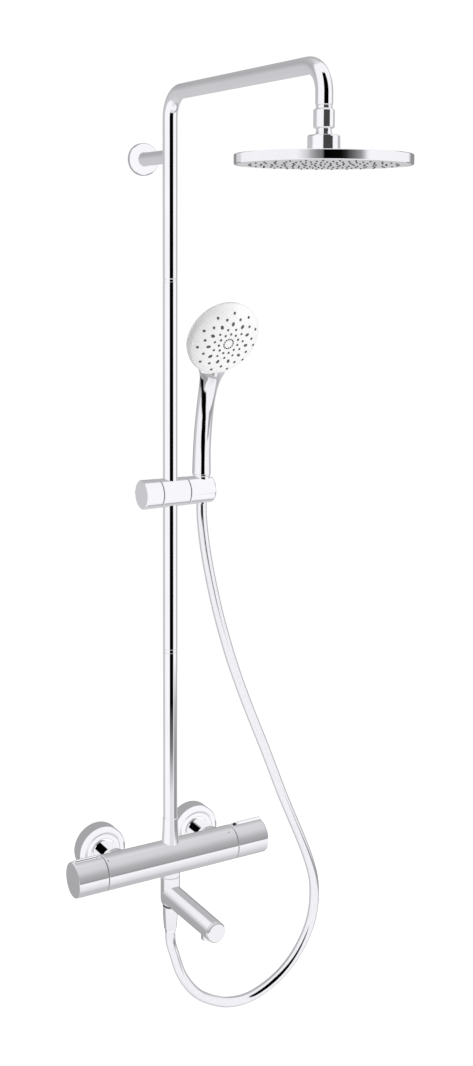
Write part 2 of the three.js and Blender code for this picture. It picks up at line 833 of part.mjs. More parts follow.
function hose() {
  const tube = new THREE.ExtrudeGeometry(circle(HOSE_R, 10), { steps: 46, extrudePath: hoseLine });
  node("hose", "chrome", solid(tube));
  const here = (profile) => upright(profile, HANDSET_X, COLUMN_Y, 18);
  node("hose_ferrule_upper", "chrome", here(pipeProfile(7.5, 4.2, HOSE_TOP_Z + GAP, 524)));
  const nut = [
    [7.9, SLIDER_Z - 17],
    [10.05, SLIDER_Z - 17],
    [11.85, SLIDER_Z + 19],
    [12.6, SLIDER_Z + 20],
    [12.6, SLIDER_Z + 22],
    [10.3, SLIDER_Z + 22],
    [10.3, 527],
    [7.9, 525],
    [7.9, SLIDER_Z - 17],
  ];
  node("hose_nut_upper", "chrome", here(nut));
}

wallConnection("left", -INLET_X);
wallConnection("right", INLET_X);
mixer();
handle("temperature_handle", BAR_LEFT_SEAM, BAR_LEFT_END, 1.6, "safety_stop_button", "chrome");
handle("flow_handle", BAR_RIGHT_SEAM, BAR_RIGHT_END, 2.2, "eco_stop_button", "darkPlastic");
riser();
headArm();
wallBracket();
headJoint();
rainHead();
spout();
hoseOutlet();
slider();
handset();
hose();

export default column;
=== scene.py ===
import math

import bmesh
import bpy
from mathutils import Matrix, Vector


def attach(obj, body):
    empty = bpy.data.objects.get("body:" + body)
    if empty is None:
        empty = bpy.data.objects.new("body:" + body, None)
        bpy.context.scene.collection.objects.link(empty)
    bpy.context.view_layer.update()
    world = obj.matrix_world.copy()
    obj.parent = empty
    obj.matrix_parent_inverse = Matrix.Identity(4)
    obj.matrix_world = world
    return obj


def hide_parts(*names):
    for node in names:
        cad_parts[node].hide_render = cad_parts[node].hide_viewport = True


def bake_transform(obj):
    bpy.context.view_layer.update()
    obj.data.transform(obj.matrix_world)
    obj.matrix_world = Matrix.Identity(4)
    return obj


# Profiles and places are written in millimetres in the CAD's frame, and every mesh is made in metres.
# +X runs along the mixer bar, +Z is up, and the wall is the plane y = 0, with the column on its -Y side.
MM = 0.001

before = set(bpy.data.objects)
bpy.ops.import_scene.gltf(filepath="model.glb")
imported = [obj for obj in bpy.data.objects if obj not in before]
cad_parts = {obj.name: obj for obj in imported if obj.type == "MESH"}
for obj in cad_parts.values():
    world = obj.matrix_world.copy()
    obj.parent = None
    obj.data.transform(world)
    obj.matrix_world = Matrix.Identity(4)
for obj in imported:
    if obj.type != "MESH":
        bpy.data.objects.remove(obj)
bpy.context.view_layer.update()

# ---- dimensions shared with the CAD ----
COLUMN_Y = -84
INLET_X = 75
BAR_R = 24
BAR_LEFT_END = -148.5
BAR_LEFT_SEAM = -104.4
BAR_RIGHT_SEAM = 98.6
BAR_RIGHT_END = 148.5
SEAM = 0.7
TUBE_R = 10
TUBE_BORE_R = 8.8
RISER_FOOT_Z = 31
LOWER_JOINT = (295, 300)
UPPER_JOINT = (806.8, 810.8)
ARM_Z = 1058
ARM_BEND_R = 33
ARM_END_Z = 1011.8
HEAD_Y = -454
HEAD_R = 100
HEAD_BOTTOM_Z = 946
HEAD_TOP_Z = 957.2
BALL_Z = 976.7
BALL_R = 10.2
BRACKET_Z = 974.7
SLIDER_Z = 519
SLIDER_LEFT_END = -43.9
KNOB_SEAM = -18.3
HOLDER_SEAM = 23.4
SLIDER_RIGHT_END = 63.4
HANDSET_X = 49
SPOUT_Z = -54
SPOUT_YAW = 0.012
HOSE_R = 7.3
HOSE_TOP_Z = 499.2
FACE_CENTRE = (HANDSET_X, -158.1, 725.8)
FACE_TILT = 0.47
FACE_YAW = 0.038
BACK_SHELL_FROM = 20
FERRULE_R = 7.75
FERRULE_BORE_R = 4.2
FLOOR_Z = -620


# ---- objects ----
def direction(azimuth, elevation):
    """The unit vector at an azimuth from straight out of the wall and an elevation, in radians."""
    level = math.cos(elevation)
    return Vector((math.sin(azimuth) * level, -math.cos(azimuth) * level, math.sin(elevation)))


def in_scene(name, data, glossy=False):
    """A new object in the scene, which reflections see only if it is glossy."""
    made = bpy.data.objects.new(name, data)
    made.visible_glossy = glossy
    bpy.context.scene.collection.objects.link(made)
    return made


# ---- camera ----
CAMERA_PLACE = (-859.818, -1741.674, 856.853)
CAMERA_TURN = (-30.187, 5.392, 0.245)  # azimuth, elevation and roll, in degrees
SENSOR = 36
LENS = 46.50417
SHIFT = -0.148218  # how far the view is shifted up, as a share of the picture's height


def make_camera():
    """The viewpoint the photo was taken from."""
    azimuth, elevation, roll = (math.radians(turn) for turn in CAMERA_TURN)
    back = direction(azimuth, elevation)
    level = Vector((math.cos(azimuth), math.sin(azimuth), 0))
    upward = back.cross(level)
    right = level * math.cos(roll) + upward * math.sin(roll)
    up = upward * math.cos(roll) - level * math.sin(roll)
    data = bpy.data.cameras.new("camera")
    data.sensor_width = SENSOR
    data.lens = LENS
    data.shift_y = SHIFT
    data.clip_start, data.clip_end = 0.05, 50
    camera = in_scene("camera", data)
    camera.matrix_world = Matrix((right, up, back)).transposed().to_4x4()
    camera.location = Vector(CAMERA_PLACE) * MM
    bpy.context.scene.camera = camera


make_camera()


# ---- materials ----
def material(name, metallic=0.0, coat=0.0, specular=0.5):
    made = bpy.data.materials.new(name)
    made.use_nodes = True
    shader = made.node_tree.nodes["Principled BSDF"]
    shader.inputs["Metallic"].default_value = metallic
    shader.inputs["Coat Weight"].default_value = coat
    shader.inputs["Specular IOR Level"].default_value = specular
    return made, made.node_tree, shader


def noise(tree, scale, detail=2.0):
    """Noise in the object's own space, in cycles a metre."""
    place = tree.nodes.new("ShaderNodeTexCoord")
    texture = tree.nodes.new("ShaderNodeTexNoise")
    texture.inputs["Scale"].default_value = scale
    texture.inputs["Detail"].default_value = detail
    tree.links.new(place.outputs["Object"], texture.inputs["Vector"])
    return texture.outputs["Fac"]


def ramp(tree, source, low, high, start=0.35, end=0.65):
    """Runs from one colour to another as the source goes from start to end."""
    made = tree.nodes.new("ShaderNodeValToRGB")
    made.color_ramp.elements[0].position = start
    made.color_ramp.elements[1].position = end
    made.color_ramp.elements[0].color = (*low, 1)
    made.color_ramp.elements[1].color = (*high, 1)
    tree.links.new(source, made.inputs["Fac"])
    return made.outputs["Color"]


def between(tree, source, low, high):
    """Turns a source from 0 to 1 into a value from low to high."""
    made = tree.nodes.new("ShaderNodeMapRange")
    made.inputs["To Min"].default_value = low
    made.inputs["To Max"].default_value = high
    tree.links.new(source, made.inputs["Value"])
    return made.outputs["Result"]


def bump(tree, shader, source, strength, depth):
    made = tree.nodes.new("ShaderNodeBump")
    made.inputs["Strength"].default_value = strength
    made.inputs["Distance"].default_value = depth
    tree.links.new(source, made.inputs["Height"])
    tree.links.new(made.outputs["Normal"], shader.inputs["Normal"])


def finish_of(name, low, high, blotches, rough, grain=None, **kind):
    """A surface whose colour and gloss vary a little, at a scale in cycles a metre.

    Its grain is a scale in cycles a metre, a strength and a depth."""
    made, tree, shader = material(name, **kind)
    tree.links.new(ramp(tree, noise(tree, blotches), low, high), shader.inputs["Base Color"])
    tree.links.new(between(tree, noise(tree, blotches * 3, 3), *rough), shader.inputs["Roughness"])
    if grain:
        scale, strength, depth = grain
        bump(tree, shader, noise(tree, scale, 4), strength, depth)
    return made


def make_hose_skin():
    """A smooth clear skin over fine silver windings, which show as a faint helix."""
    made, tree, shader = material("hose_skin", metallic=1.0, coat=0.6)
    shader.inputs["Coat Roughness"].default_value = 0.04
    along = tree.nodes.new("ShaderNodeUVMap")
    along.uv_map = "windings"
    wave = tree.nodes.new("ShaderNodeTexWave")
    wave.inputs["Scale"].default_value = 1
    wave.inputs["Distortion"].default_value = 0.4
    tree.links.new(along.outputs["UV"], wave.inputs["Vector"])
    colour = ramp(tree, wave.outputs["Fac"], (0.86, 0.865, 0.87), (0.95, 0.952, 0.955), 0.1, 0.9)
    tree.links.new(colour, shader.inputs["Base Color"])
    tree.links.new(between(tree, noise(tree, 60, 3), 0.06, 0.11), shader.inputs["Roughness"])
    bump(tree, shader, wave.outputs["Fac"], 0.05, 0.00005)
    return made


# The slots' looks: name, darker and lighter colour, blotches, range of roughness, grain.
LOOKS = {
    "chrome": finish_of(
        "mirror_chrome", (0.945, 0.95, 0.955), (0.975, 0.978, 0.98), 14, (0.01, 0.03), metallic=1.0
    ),
    "brass": finish_of(
        "machined_brass", (0.66, 0.47, 0.2), (0.78, 0.6, 0.32), 60, (0.25, 0.42),
        (1600, 0.2, 0.0001), metallic=1.0,
    ),
    "steel": finish_of(
        "plain_steel", (0.5, 0.51, 0.52), (0.66, 0.67, 0.68), 40, (0.22, 0.38),
        (1400, 0.2, 0.0001), metallic=1.0,
    ),
    "rubber": finish_of(
        "sealing_rubber", (0.012, 0.012, 0.013), (0.03, 0.03, 0.032), 120, (0.6, 0.85), (2500, 0.3, 0.0001)
    ),
    "dark_plastic": finish_of(
        "black_acetal", (0.006, 0.006, 0.007), (0.014, 0.014, 0.016), 80, (0.3, 0.45), (2200, 0.15, 0.00005)
    ),
    "white_plastic": finish_of(
        "white_satin_plastic", (0.72, 0.72, 0.72), (0.76, 0.76, 0.76), 25, (0.25, 0.38),
        (1800, 0.06, 0.00005), coat=0.25,
    ),
    "grey_plastic": finish_of(
        "grey_plastic", (0.3, 0.31, 0.32), (0.38, 0.39, 0.4), 60, (0.35, 0.5), (2000, 0.15, 0.00005)
    ),
    "silicone": finish_of(
        "nozzle_silicone", (0.05, 0.053, 0.056), (0.09, 0.093, 0.096), 90, (0.45, 0.6), (2500, 0.1, 0.00005)
    ),
    "hose_skin": make_hose_skin(),
}


# ---- shells: lists of points in millimetres, and faces ----
def arc_corner(before, corner, after, radius, steps=4):
    """The points that round one corner, with one held close on each side so that flats stay flat."""
    into, out = (before - corner), (after - corner)
    if into.length < 1e-6 or out.length < 1e-6:
        return [corner]
    turn = math.pi - into.angle(out)
    if turn < math.radians(12):
        return [corner]
    reach = min(radius * math.tan(turn / 2), into.length * 0.42, out.length * 0.42)
    start, end = corner + into.normalized() * reach, corner + out.normalized() * reach
    hold = min(0.25, into.length * 0.06, out.length * 0.06)
    points = [start + into.normalized() * hold]
    for i in range(steps + 1):
        t = i / steps
        points.append(start * (1 - t) ** 2 + corner * 2 * t * (1 - t) + end * t**2)
    return [*points, end + out.normalized() * hold]


def softened(profile, radius):
    """A profile of (radius, height) points with rounded corners, and whether it ends where it began."""
    points = [Vector(p) for p in profile]
    closed = (points[0] - points[-1]).length < 1e-6
    if closed:
        points = points[:-1]
    rounded = []
    for i, corner in enumerate(points):
        if not closed and i in (0, len(points) - 1):
            rounded.append(corner)
            continue
        rounded += arc_corner(points[i - 1], corner, points[(i + 1) % len(points)], radius)
    return [tuple(p) for p in rounded], closed


def turned(profile, radius=0.3, segments=96):
    """Turns a profile about +Z."""
    points, closed = softened(profile, radius)
    vertices, rings = [], []
    for r, height in points:
        if r < 1e-6:
            rings.append([len(vertices)] * segments)
            vertices.append(Vector((0, 0, height)))
            continue
        rings.append(list(range(len(vertices), len(vertices) + segments)))
        for i in range(segments):
            angle = 2 * math.pi * i / segments
            vertices.append(Vector((r * math.cos(angle), r * math.sin(angle), height)))
    return vertices, bridged(rings, closed)


def bridged(rings, closed=False):
    """The faces between each ring and the next."""
    faces = []
    pairs = list(zip(rings, rings[1:]))
    if closed:
        pairs.append((rings[-1], rings[0]))
    for low, high in pairs:
        for i in range(len(low)):
            j = (i + 1) % len(low)
            corners = [low[i], low[j], high[j], high[i]]
            unique = [c for k, c in enumerate(corners) if c not in corners[:k]]
            if len(unique) > 2:
                faces.append(unique)
    return faces


def placed(shell, matrix):
    vertices, faces = shell
    return [matrix @ v for v in vertices], faces


def upright(profile, x, y, radius=0.3, segments=96):
    return placed(turned(profile, radius, segments), Matrix.Translation((x, y, 0)))


def on_column(profile, radius=0.3, segments=96):
    return upright(profile, 0, COLUMN_Y, radius, segments)


def along_bar(profile, z=0, radius=0.3, segments=96):
    matrix = Matrix.Translation((0, COLUMN_Y, z)) @ Matrix.Rotation(math.pi / 2, 4, "Y")
    return placed(turned(profile, radius, segments), matrix)


def out_of_wall(profile, x, z=0, radius=0.3, segments=96):
    matrix = Matrix.Translation((x, 0, z)) @ Matrix.Rotation(math.pi / 2, 4, "X")
    return placed(turned(profile, radius, segments), matrix)


FACE_BOX = (
    Matrix.Translation(FACE_CENTRE)
    @ Matrix.Rotation(FACE_YAW, 4, "Z")
    @ Matrix.Rotation(FACE_TILT, 4, "X")
)
FACE_LATHE = FACE_BOX @ Matrix.Rotation(-math.pi / 2, 4, "X")


def behind_face(profile, radius=0.3, segments=128):
    """Turns a profile of (radius, depth behind the face's middle) about the spray face's own axis."""
    return placed(turned(profile, radius, segments), FACE_LATHE)


def block(size, centre, radius=0.4):
    """A box with rounded edges."""
    made = bmesh.new()
    bmesh.ops.create_cube(made, size=1)
    bmesh.ops.scale(made, vec=size, verts=made.verts)
    bmesh.ops.translate(made, vec=centre, verts=made.verts)
    offset = min(radius, min(size) * 0.45)
    bmesh.ops.bevel(made, geom=list(made.edges), offset=offset, segments=4, profile=0.5, affect="EDGES")
    made.verts.index_update()
    shell = [v.co.copy() for v in made.verts], [[v.index for v in f.verts] for f in made.faces]
    made.free()
    return shell


def rod(radius, low, high, bevel=0.5):
    """The profile of a solid rod with bevelled ends."""
    return [
        (0, low), (radius - bevel, low), (radius, low + bevel), (radius, high - bevel),
        (radius - bevel, high), (0, high),
    ]


def pipe(radius, bore, low, high):
    """The profile of a tube's wall."""
    return [(bore, low), (radius, low), (radius, high), (bore, high), (bore, low)]


# ---- pieces ----
SHARP_EDGE = 33  # degrees


def mesh_of(name, shells):
    """One mesh of all the shells, in metres."""
    vertices, faces = [], []
    for points, polygons in shells:
        faces += [[i + len(vertices) for i in face] for face in polygons]
        vertices += [v * MM for v in points]
    mesh = bpy.data.meshes.new(name)
    mesh.from_pydata(vertices, [], faces)
    made = bmesh.new()
    made.from_mesh(mesh)
    bmesh.ops.recalc_face_normals(made, faces=made.faces)
    made.to_mesh(mesh)
    made.free()
    shade(mesh)
    return mesh


def shade(mesh):
    """Smooth but for the sharp edges."""
    mesh.shade_smooth()
    mesh.set_sharp_from_angle(angle=math.radians(SHARP_EDGE))


def without(mesh, name, *tools):
    """The mesh with the tools' shells cut away."""
    body = in_scene(name, mesh)
    for tool in tools:
        cutter = in_scene(name + ".cutter", mesh_of(name + ".cutter", [tool]))
        boolean = body.modifiers.new("cut", "BOOLEAN")
        boolean.operation = "DIFFERENCE"
        boolean.solver = "EXACT"
        boolean.object = cutter
        graph = bpy.context.evaluated_depsgraph_get()
        result = bpy.data.meshes.new_from_object(body.evaluated_get(graph))
        body.modifiers.clear()
        body.data = result
        bpy.data.objects.remove(cutter)
    result = body.data
    bpy.data.objects.remove(body)
    result.materials.clear()
    shade(result)
    return result


def piece(name, mesh, body, slot, stands_for=()):
    """A visible piece in a slot's look, which moves with a CAD body and stands for CAD nodes."""
    if not isinstance(mesh, bpy.types.Mesh):
        mesh = mesh_of(name, mesh)
    mesh.materials.append(LOOKS[slot])
    made = in_scene(name, mesh)
    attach(made, body)
    if stands_for:
        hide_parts(*stands_for)
    return made


def polished(name, mesh, body, *stands_for):
    """A chrome piece."""
    piece("polished_" + name, mesh, body, "chrome", stands_for)


# ---- the hose ----
# Its route, in metres, from the cone nut in the slider down, round and up to the nut under the spout.
HOSE_ROUTE = [
    (0.049, -0.084, 0.4992), (0.0492, -0.0846, 0.48), (0.0523, -0.0862, 0.446),
    (0.057, -0.0886, 0.412), (0.0628, -0.0914, 0.379), (0.0696, -0.0947, 0.345),
    (0.0776, -0.0981, 0.312), (0.0869, -0.1016, 0.278), (0.0974, -0.105, 0.245),
    (0.1093, -0.1084, 0.211), (0.1224, -0.1113, 0.177), (0.1358, -0.1139, 0.143),
    (0.1492, -0.1159, 0.108), (0.1632, -0.1173, 0.072), (0.1788, -0.1179, 0.036),
    (0.1953, -0.1179, -0.001), (0.2106, -0.117, -0.038), (0.22, -0.1158, -0.068),
    (0.2231, -0.1145, -0.097), (0.2198, -0.1122, -0.133), (0.2068, -0.1097, -0.166),
    (0.1874, -0.1069, -0.194), (0.1619, -0.1038, -0.216), (0.1316, -0.1005, -0.231),
    (0.1144, -0.0987, -0.235), (0.0958, -0.0968, -0.235), (0.0768, -0.0948, -0.231),
    (0.0418, -0.0909, -0.2115), (0.0179, -0.0876, -0.18), (0.0056, -0.0852, -0.144),
    (0.0006, -0.0841, -0.125), (0, -0.084, -0.11),
]
HOSE_PLUG = 0.004
HOSE_SIDES = 28
HOSE_SPACING = 0.003
STEPS_A_LEG = 40
WINDING = 0.0016
WINDINGS_A_WAVE = 3.2


def cubic(p1, p2, start, end, t):
    """A point on the cubic that leaves p1 along start and reaches p2 along end."""
    c2 = p1 * -3 + p2 * 3 - start * 2 - end
    c3 = p1 * 2 - p2 * 2 + start + end
    return p1 + start * t + c2 * t**2 + c3 * t**3


def centripetal(p0, p1, p2, p3, t):
    """A point between p1 and p2 of the centripetal Catmull-Rom curve that the CAD's hose follows."""
    d0, d1, d2 = (max((b - a).length, 1e-9) ** 0.5 for a, b in ((p0, p1), (p1, p2), (p2, p3)))
    start = ((p1 - p0) / d0 - (p2 - p0) / (d0 + d1) + (p2 - p1) / d1) * d1
    end = ((p2 - p1) / d1 - (p3 - p1) / (d1 + d2) + (p3 - p2) / d2) * d1
    return cubic(p1, p2, start, end, t)


def hose_line():
    """The hose's centreline, as points at an even spacing."""
    route = [Vector(p) for p in HOSE_ROUTE]
    route = [route[0] * 2 - route[1], *route, route[-1] * 2 - route[-2]]
    fine = []
    for i in range(1, len(route) - 2):
        fine += [centripetal(*route[i - 1 : i + 3], k / STEPS_A_LEG) for k in range(STEPS_A_LEG)]
    fine.append(route[-2])
    steps = [(b - a).length for a, b in zip(fine, fine[1:])]
    length = sum(steps)
    count = round(length / HOSE_SPACING)
    points, gone, i = [], 0.0, 0
    for k in range(count):
        target = length * k / count
        while gone + steps[i] < target:
            gone += steps[i]
            i += 1
        points.append(fine[i].lerp(fine[i + 1], (target - gone) / steps[i]))
    return [*points, fine[-1]], length


def swept(points, radii, segments, first_side):
    """Rings of the given radii round a line, turned no more than the line turns, with closed ends."""
    vertices, rings = [], []
    side = Vector(first_side)
    for i, point in enumerate(points):
        along = (points[min(i + 1, len(points) - 1)] - points[max(i - 1, 0)]).normalized()
        side = (side - along * side.dot(along)).normalized()
        other = along.cross(side)
        rings.append(list(range(len(vertices), len(vertices) + segments)))
        for k in range(segments):
            angle = 2 * math.pi * k / segments
            vertices.append(point + (side * math.cos(angle) + other * math.sin(angle)) * radii[i])
    faces = bridged(rings)
    return vertices, [*faces, rings[0][::-1], rings[-1]]


def make_hose():
    """The hose, with both ends raised by HOSE_PLUG and its windings laid out along it."""
    line, length = hose_line()
    radius = HOSE_R * MM
    line[0] = line[0] + Vector((0, 0, HOSE_PLUG))
    line[-1] = line[-1] + Vector((0, 0, HOSE_PLUG))
    points = [p / MM for p in line]
    mesh = mesh_of("hose_tube", [swept(points, [HOSE_R] * len(points), HOSE_SIDES, (0, 1, 0))])
    windings = mesh.uv_layers.new(name="windings")
    for loop in mesh.loops:
        ring, side = divmod(loop.vertex_index, HOSE_SIDES)
        turns = length * ring / (len(points) - 1) / WINDING
        windings.data[loop.index].uv = ((turns + side / HOSE_SIDES) / WINDINGS_A_WAVE, 0)
    mesh.materials.append(LOOKS["hose_skin"])
    made = in_scene("hose_tube", mesh)
    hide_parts("hose")
    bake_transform(made)
    return made, line, length, radius


hose, hose_points, hose_length, hose_radius = make_hose()


# ---- the two connections to the wall ----
def wall_connection(side, x):
    """A rose that hides the inlet, and the union nut in front of it."""
    rose = [
        (33, 0), (35, 0), (35, 20.8), (33.8, 22.6), (31.5, 23.5), (27.6, 23.5), (26.8, 22.4),
        (26, 22.4), (25.2, 24.4), (19.6, 24.4), (18.6, 23.6), (18.6, 21.4), (31, 21.4), (33, 19.4),
        (33, 0),
    ]
    polished("rose_" + side, [out_of_wall(rose, x, 0, 0.6, 128)], "column", "wall_rose_" + side)
    nut = [
        (15.5, 27), (17, 27), (18, 28), (18, 53.8), (17, 54.8), (12.5, 54.8), (12.5, 52.3),
        (15.5, 52.3), (15.5, 27),
    ]
    polished("union_nut_" + side, [out_of_wall(nut, x)], "column", "union_nut_" + side)


wall_connection("left", -INLET_X)
wall_connection("right", INLET_X)


# ---- the mixer ----
RIDGE_RISE = 1.4  # of the ridge's axis above the handle
BUTTON_IN = 4.8  # from the handle's inner face to the middle of its stop button
MARKS = ((-101, 62), (88, 60))  # place along the bar, and degrees up from the front


def inlet_tail(x):
    """The bar's neck towards one union nut, with the spigot inside it."""
    tail = [(0, 55.2), (16, 55.2), (18.5, 59), (19.5, 64), (19.5, 74), (0, 74)]
    spigot = [(0, 48.6), (15, 48.6), (15, 52), (12.2, 52), (12.2, 56), (0, 56)]
    return [out_of_wall(tail, x, 0, 1.2), out_of_wall(spigot, x)]


def mixer_body():
    """The bar, with the riser's socket on top and the outlet's collar underneath."""
    bar = rod(BAR_R, BAR_LEFT_SEAM + SEAM, BAR_RIGHT_SEAM - SEAM, 0.5)
    socket = [(0, 12), (13.4, 12), (12.2, 25), (11, 42), (10.7, 57.2), (10.3, 58), (0, 58)]
    underneath = [(0, -27), (13.2, -27), (13.65, -26.5), (13.65, -12), (0, -12)]
    shells = [
        along_bar(bar, 0, 0.4, 160),
        *inlet_tail(-INLET_X),
        *inlet_tail(INLET_X),
        on_column(underneath),
    ]
    polished("mixer_body", shells, "column", "mixer_body")
    polished("riser_socket", [on_column(socket, 0.8)], "column")


def handle(name, seam, end, bevel, button, button_body, button_slot, cap_span):
    """A cup-shaped handle with a finger ridge on top, and the stop button at the ridge's inner end."""
    sign = math.copysign(1, end)
    length = abs(end - seam) - SEAM
    cup = [
        (0, length), (BAR_R - bevel, length), (BAR_R - bevel * 0.3, length - bevel * 0.3),
        (BAR_R, length - bevel), (BAR_R, 0.5), (BAR_R - 0.5, 0), (20.5, 0), (20.5, length - 6),
        (8, length - 6), (8, 2), (5.1, 2), (5.1, length - 24), (0, length - 24),
    ]
    face = seam + sign * SEAM
    turn = Matrix.Rotation(sign * math.pi / 2, 4, "Y")
    ridge_from, ridge_to = 8.4, length - 1.6
    at_axis = Matrix.Translation((face, COLUMN_Y, 0)) @ turn
    at_ridge = Matrix.Translation((face, COLUMN_Y, BAR_R + RIDGE_RISE)) @ turn
    shell = mesh_of(name, [placed(turned(cup, 0.35, 160), at_axis)])
    pocket = block((6.2, 4.6, 20), (face + sign * BUTTON_IN, COLUMN_Y, BAR_R + 2), 0.6)
    cut_shell = without(shell, name, pocket)
    polished(name, cut_shell, name, name)
    ridge = placed(turned(rod(2.4, ridge_from, ridge_to, 1.2), 0.9, 48), at_ridge)
    middle = face + sign * (ridge_from + ridge_to) / 2
    web = block((ridge_to - ridge_from - 1, 3.84, 5), (middle, COLUMN_Y, BAR_R - 0.4), 0.5)
    piece(name + "_ridge", [ridge, web], name, "chrome")
    cap = placed(turned(rod(2.1, *cap_span, 0.8), 0.6, 40), at_ridge)
    stem = block((4.6, 3.2, 5.4), (face + sign * BUTTON_IN, COLUMN_Y, BAR_R - 0.6), 0.4)
    piece("shaped_" + button, [cap, stem], button_body, button_slot, [button])


def marks():
    """The small printed dots beside the two seams, against which the handles are read."""
    dots = []
    for x, angle in MARKS:
        turn = Matrix.Rotation(math.radians(90 - angle), 4, "X")
        place = Matrix.Translation((x, COLUMN_Y, 0)) @ turn @ Matrix.Translation((0, 0, BAR_R - 0.1))
        dots.append(placed(turned([(0, -0.2), (0.9, -0.2), (0.9, 0.15), (0, 0.15)], 0.05, 24), place))
    piece("seam_marks", dots, "column", "dark_plastic")


mixer_body()
marks()
handle(
    "temperature_handle",
    seam=BAR_LEFT_SEAM,
    end=BAR_LEFT_END,
    bevel=1.6,
    button="safety_stop_button",
    button_body="safety_button",
    button_slot="chrome",
    cap_span=(2, 7.6),
)
handle(
    "flow_handle",
    seam=BAR_RIGHT_SEAM,
    end=BAR_RIGHT_END,
    bevel=2.2,
    button="eco_stop_button",
    button_body="eco_button",
    button_slot="dark_plastic",
    cap_span=(3.8, 5.9),
)


# ---- the riser and its arm ----
CONNECTOR_REACH = 18
BEND_STEPS = 28
BEND_HOLD = 2


def tube_wall(low, high):
    return on_column(pipe(TUBE_R, TUBE_BORE_R, low, high), 0.25)


def connector(low, high):
    """The sleeve inside a joint between two tubes, with the band that shows between them."""
    inside = CONNECTOR_REACH
    profile = [
        (6.6, low - inside), (8.4, low - inside), (8.4, low + 0.3), (9.8, low + 0.3),
        (9.8, high - 0.3), (8.4, high - 0.3), (8.4, high + inside), (6.6, high + inside),
        (6.6, low - inside),
    ]
    return on_column(profile, 0.15)


def quarter_bend(centre_y, begin):
    """A quarter circle of the arm's centreline, begun at an angle up from the wall's side."""
    points = []
    for i in range(BEND_STEPS + 1):
        angle = begin + math.pi / 2 * i / BEND_STEPS
        y = centre_y + ARM_BEND_R * math.cos(angle)
        z = ARM_Z - ARM_BEND_R + ARM_BEND_R * math.sin(angle)
        points.append(Vector((0, y, z)))
    return points


def arm_line():
    """The head arm's centreline. Points held close to its ends and bends keep its straight runs straight."""
    first, second = COLUMN_Y - ARM_BEND_R, HEAD_Y + ARM_BEND_R
    return [
        *(Vector((0, COLUMN_Y, UPPER_JOINT[1] + rise)) for rise in (0, 0.5, 1.5)),
        Vector((0, COLUMN_Y, ARM_Z - ARM_BEND_R - BEND_HOLD)),
        *quarter_bend(first, 0),
        Vector((0, first - BEND_HOLD, ARM_Z)),
        Vector((0, second + BEND_HOLD, ARM_Z)),
        *quarter_bend(second, math.pi / 2),
        *(Vector((0, HEAD_Y, ARM_END_Z + rise)) for rise in (1.5, 0.5, 0)),
    ]


def riser():
    spans = (("lower", RISER_FOOT_Z, LOWER_JOINT[0]), ("middle", LOWER_JOINT[1], UPPER_JOINT[0]))
    for name, low, high in spans:
        polished("riser_" + name, [tube_wall(low, high)], "column", f"riser_{name}_tube")
    for name, joint in (("lower", LOWER_JOINT), ("upper", UPPER_JOINT)):
        node = f"riser_{name}_connector"
        polished(node, [connector(*joint)], "column", node)
    line = arm_line()
    radii = [TUBE_R] * len(line)
    radii[0] = radii[-1] = TUBE_R - 0.3
    polished("head_arm", [swept(line, radii, 96, (1, 0, 0))], "column", "head_arm")


riser()


# ---- the wall bracket ----
def wall_bracket():
    """The rosette, and the arm from it to the riser."""
    rosette = [
        (20.8, 0), (22.5, 0), (22.5, 6), (21.6, 7.4), (20.4, 7.8), (9.6, 7.8), (9.6, 6.2),
        (20.8, 6.2), (20.8, 0),
    ]
    shell = out_of_wall(rosette, 0, BRACKET_Z, 0.5, 128)
    polished("rosette", [shell], "column", "bracket_rosette")
    arm = out_of_wall(pipe(9.25, 5.6, 4, 82), 0, BRACKET_Z)
    polished("bracket_arm", [arm], "column", "bracket_arm")


wall_bracket()


# ---- the rain head and its ball joint ----
BALL_STEPS = 16
HEAD_NOZZLE_RINGS = ((10, 5), (22, 9), (34, 13), (46, 17), (58, 21), (70, 25), (83, 29))  # radius, count
HEAD_NOZZLE = 1.2


def at_head(profile, radius=0.3, segments=128):
    return upright(profile, 0, HEAD_Y, radius, segments)


def head_joint():
    """From the arm's end down: a ring, the sleeve, the ball stud and the boss that holds the ball."""
    ring = pipe(9.3, 6, 1007.6, 1011.5)
    polished("arm_end_ring", [at_head(ring, 0.6)], "column", "arm_end_ring")
    sleeve = [(7.3, 986), (10.8, 986), (12, 987.3), (12, 1005.8), (10.6, 1007.2), (7.3, 1007.2), (7.3, 986)]
    polished("swivel_sleeve", [at_head(sleeve, 0.4)], "column", "swivel_sleeve")
    ball = []
    for i in range(BALL_STEPS + 1):
        angle = -math.pi / 2 + (i / BALL_STEPS) * (math.pi / 2 + 0.5)
        ball.append((max(0, BALL_R * math.cos(angle)), BALL_Z + BALL_R * math.sin(angle)))
    ball[0] = (0, ball[0][1])
    stud = [*ball, (8.8, BALL_Z + 5.3), (8.8, 985.7), (7, 985.7), (7, 1005), (0, 1005)]
    polished("ball_stud", [at_head(stud, 0.3, 64)], "column", "ball_stud")
    boss = [
        (13.8, HEAD_TOP_Z + 0.3), (18.8, HEAD_TOP_Z + 0.3), (18.4, 968), (18.3, 976.8),
        (17.6, 978.2), (16.4, 978.7), (10.5, 978.7), (10.5, 977.4), (13.8, 977.4),
        (13.8, HEAD_TOP_Z + 0.3),
    ]
    polished("head_boss", [at_head(boss, 0.5)], "rain_head", "head_boss")


def nozzle(matrix, radius, height):
    """A small rubber nipple with a dished tip, pointing along -Z of its own frame."""
    profile = [
        (0, -height * 0.7), (radius * 0.45, -height), (radius * 0.8, -height * 0.9), (radius, 0),
        (radius, height * 0.5), (0, height * 0.5),
    ]
    return placed(turned(profile, radius * 0.25, 14), matrix)


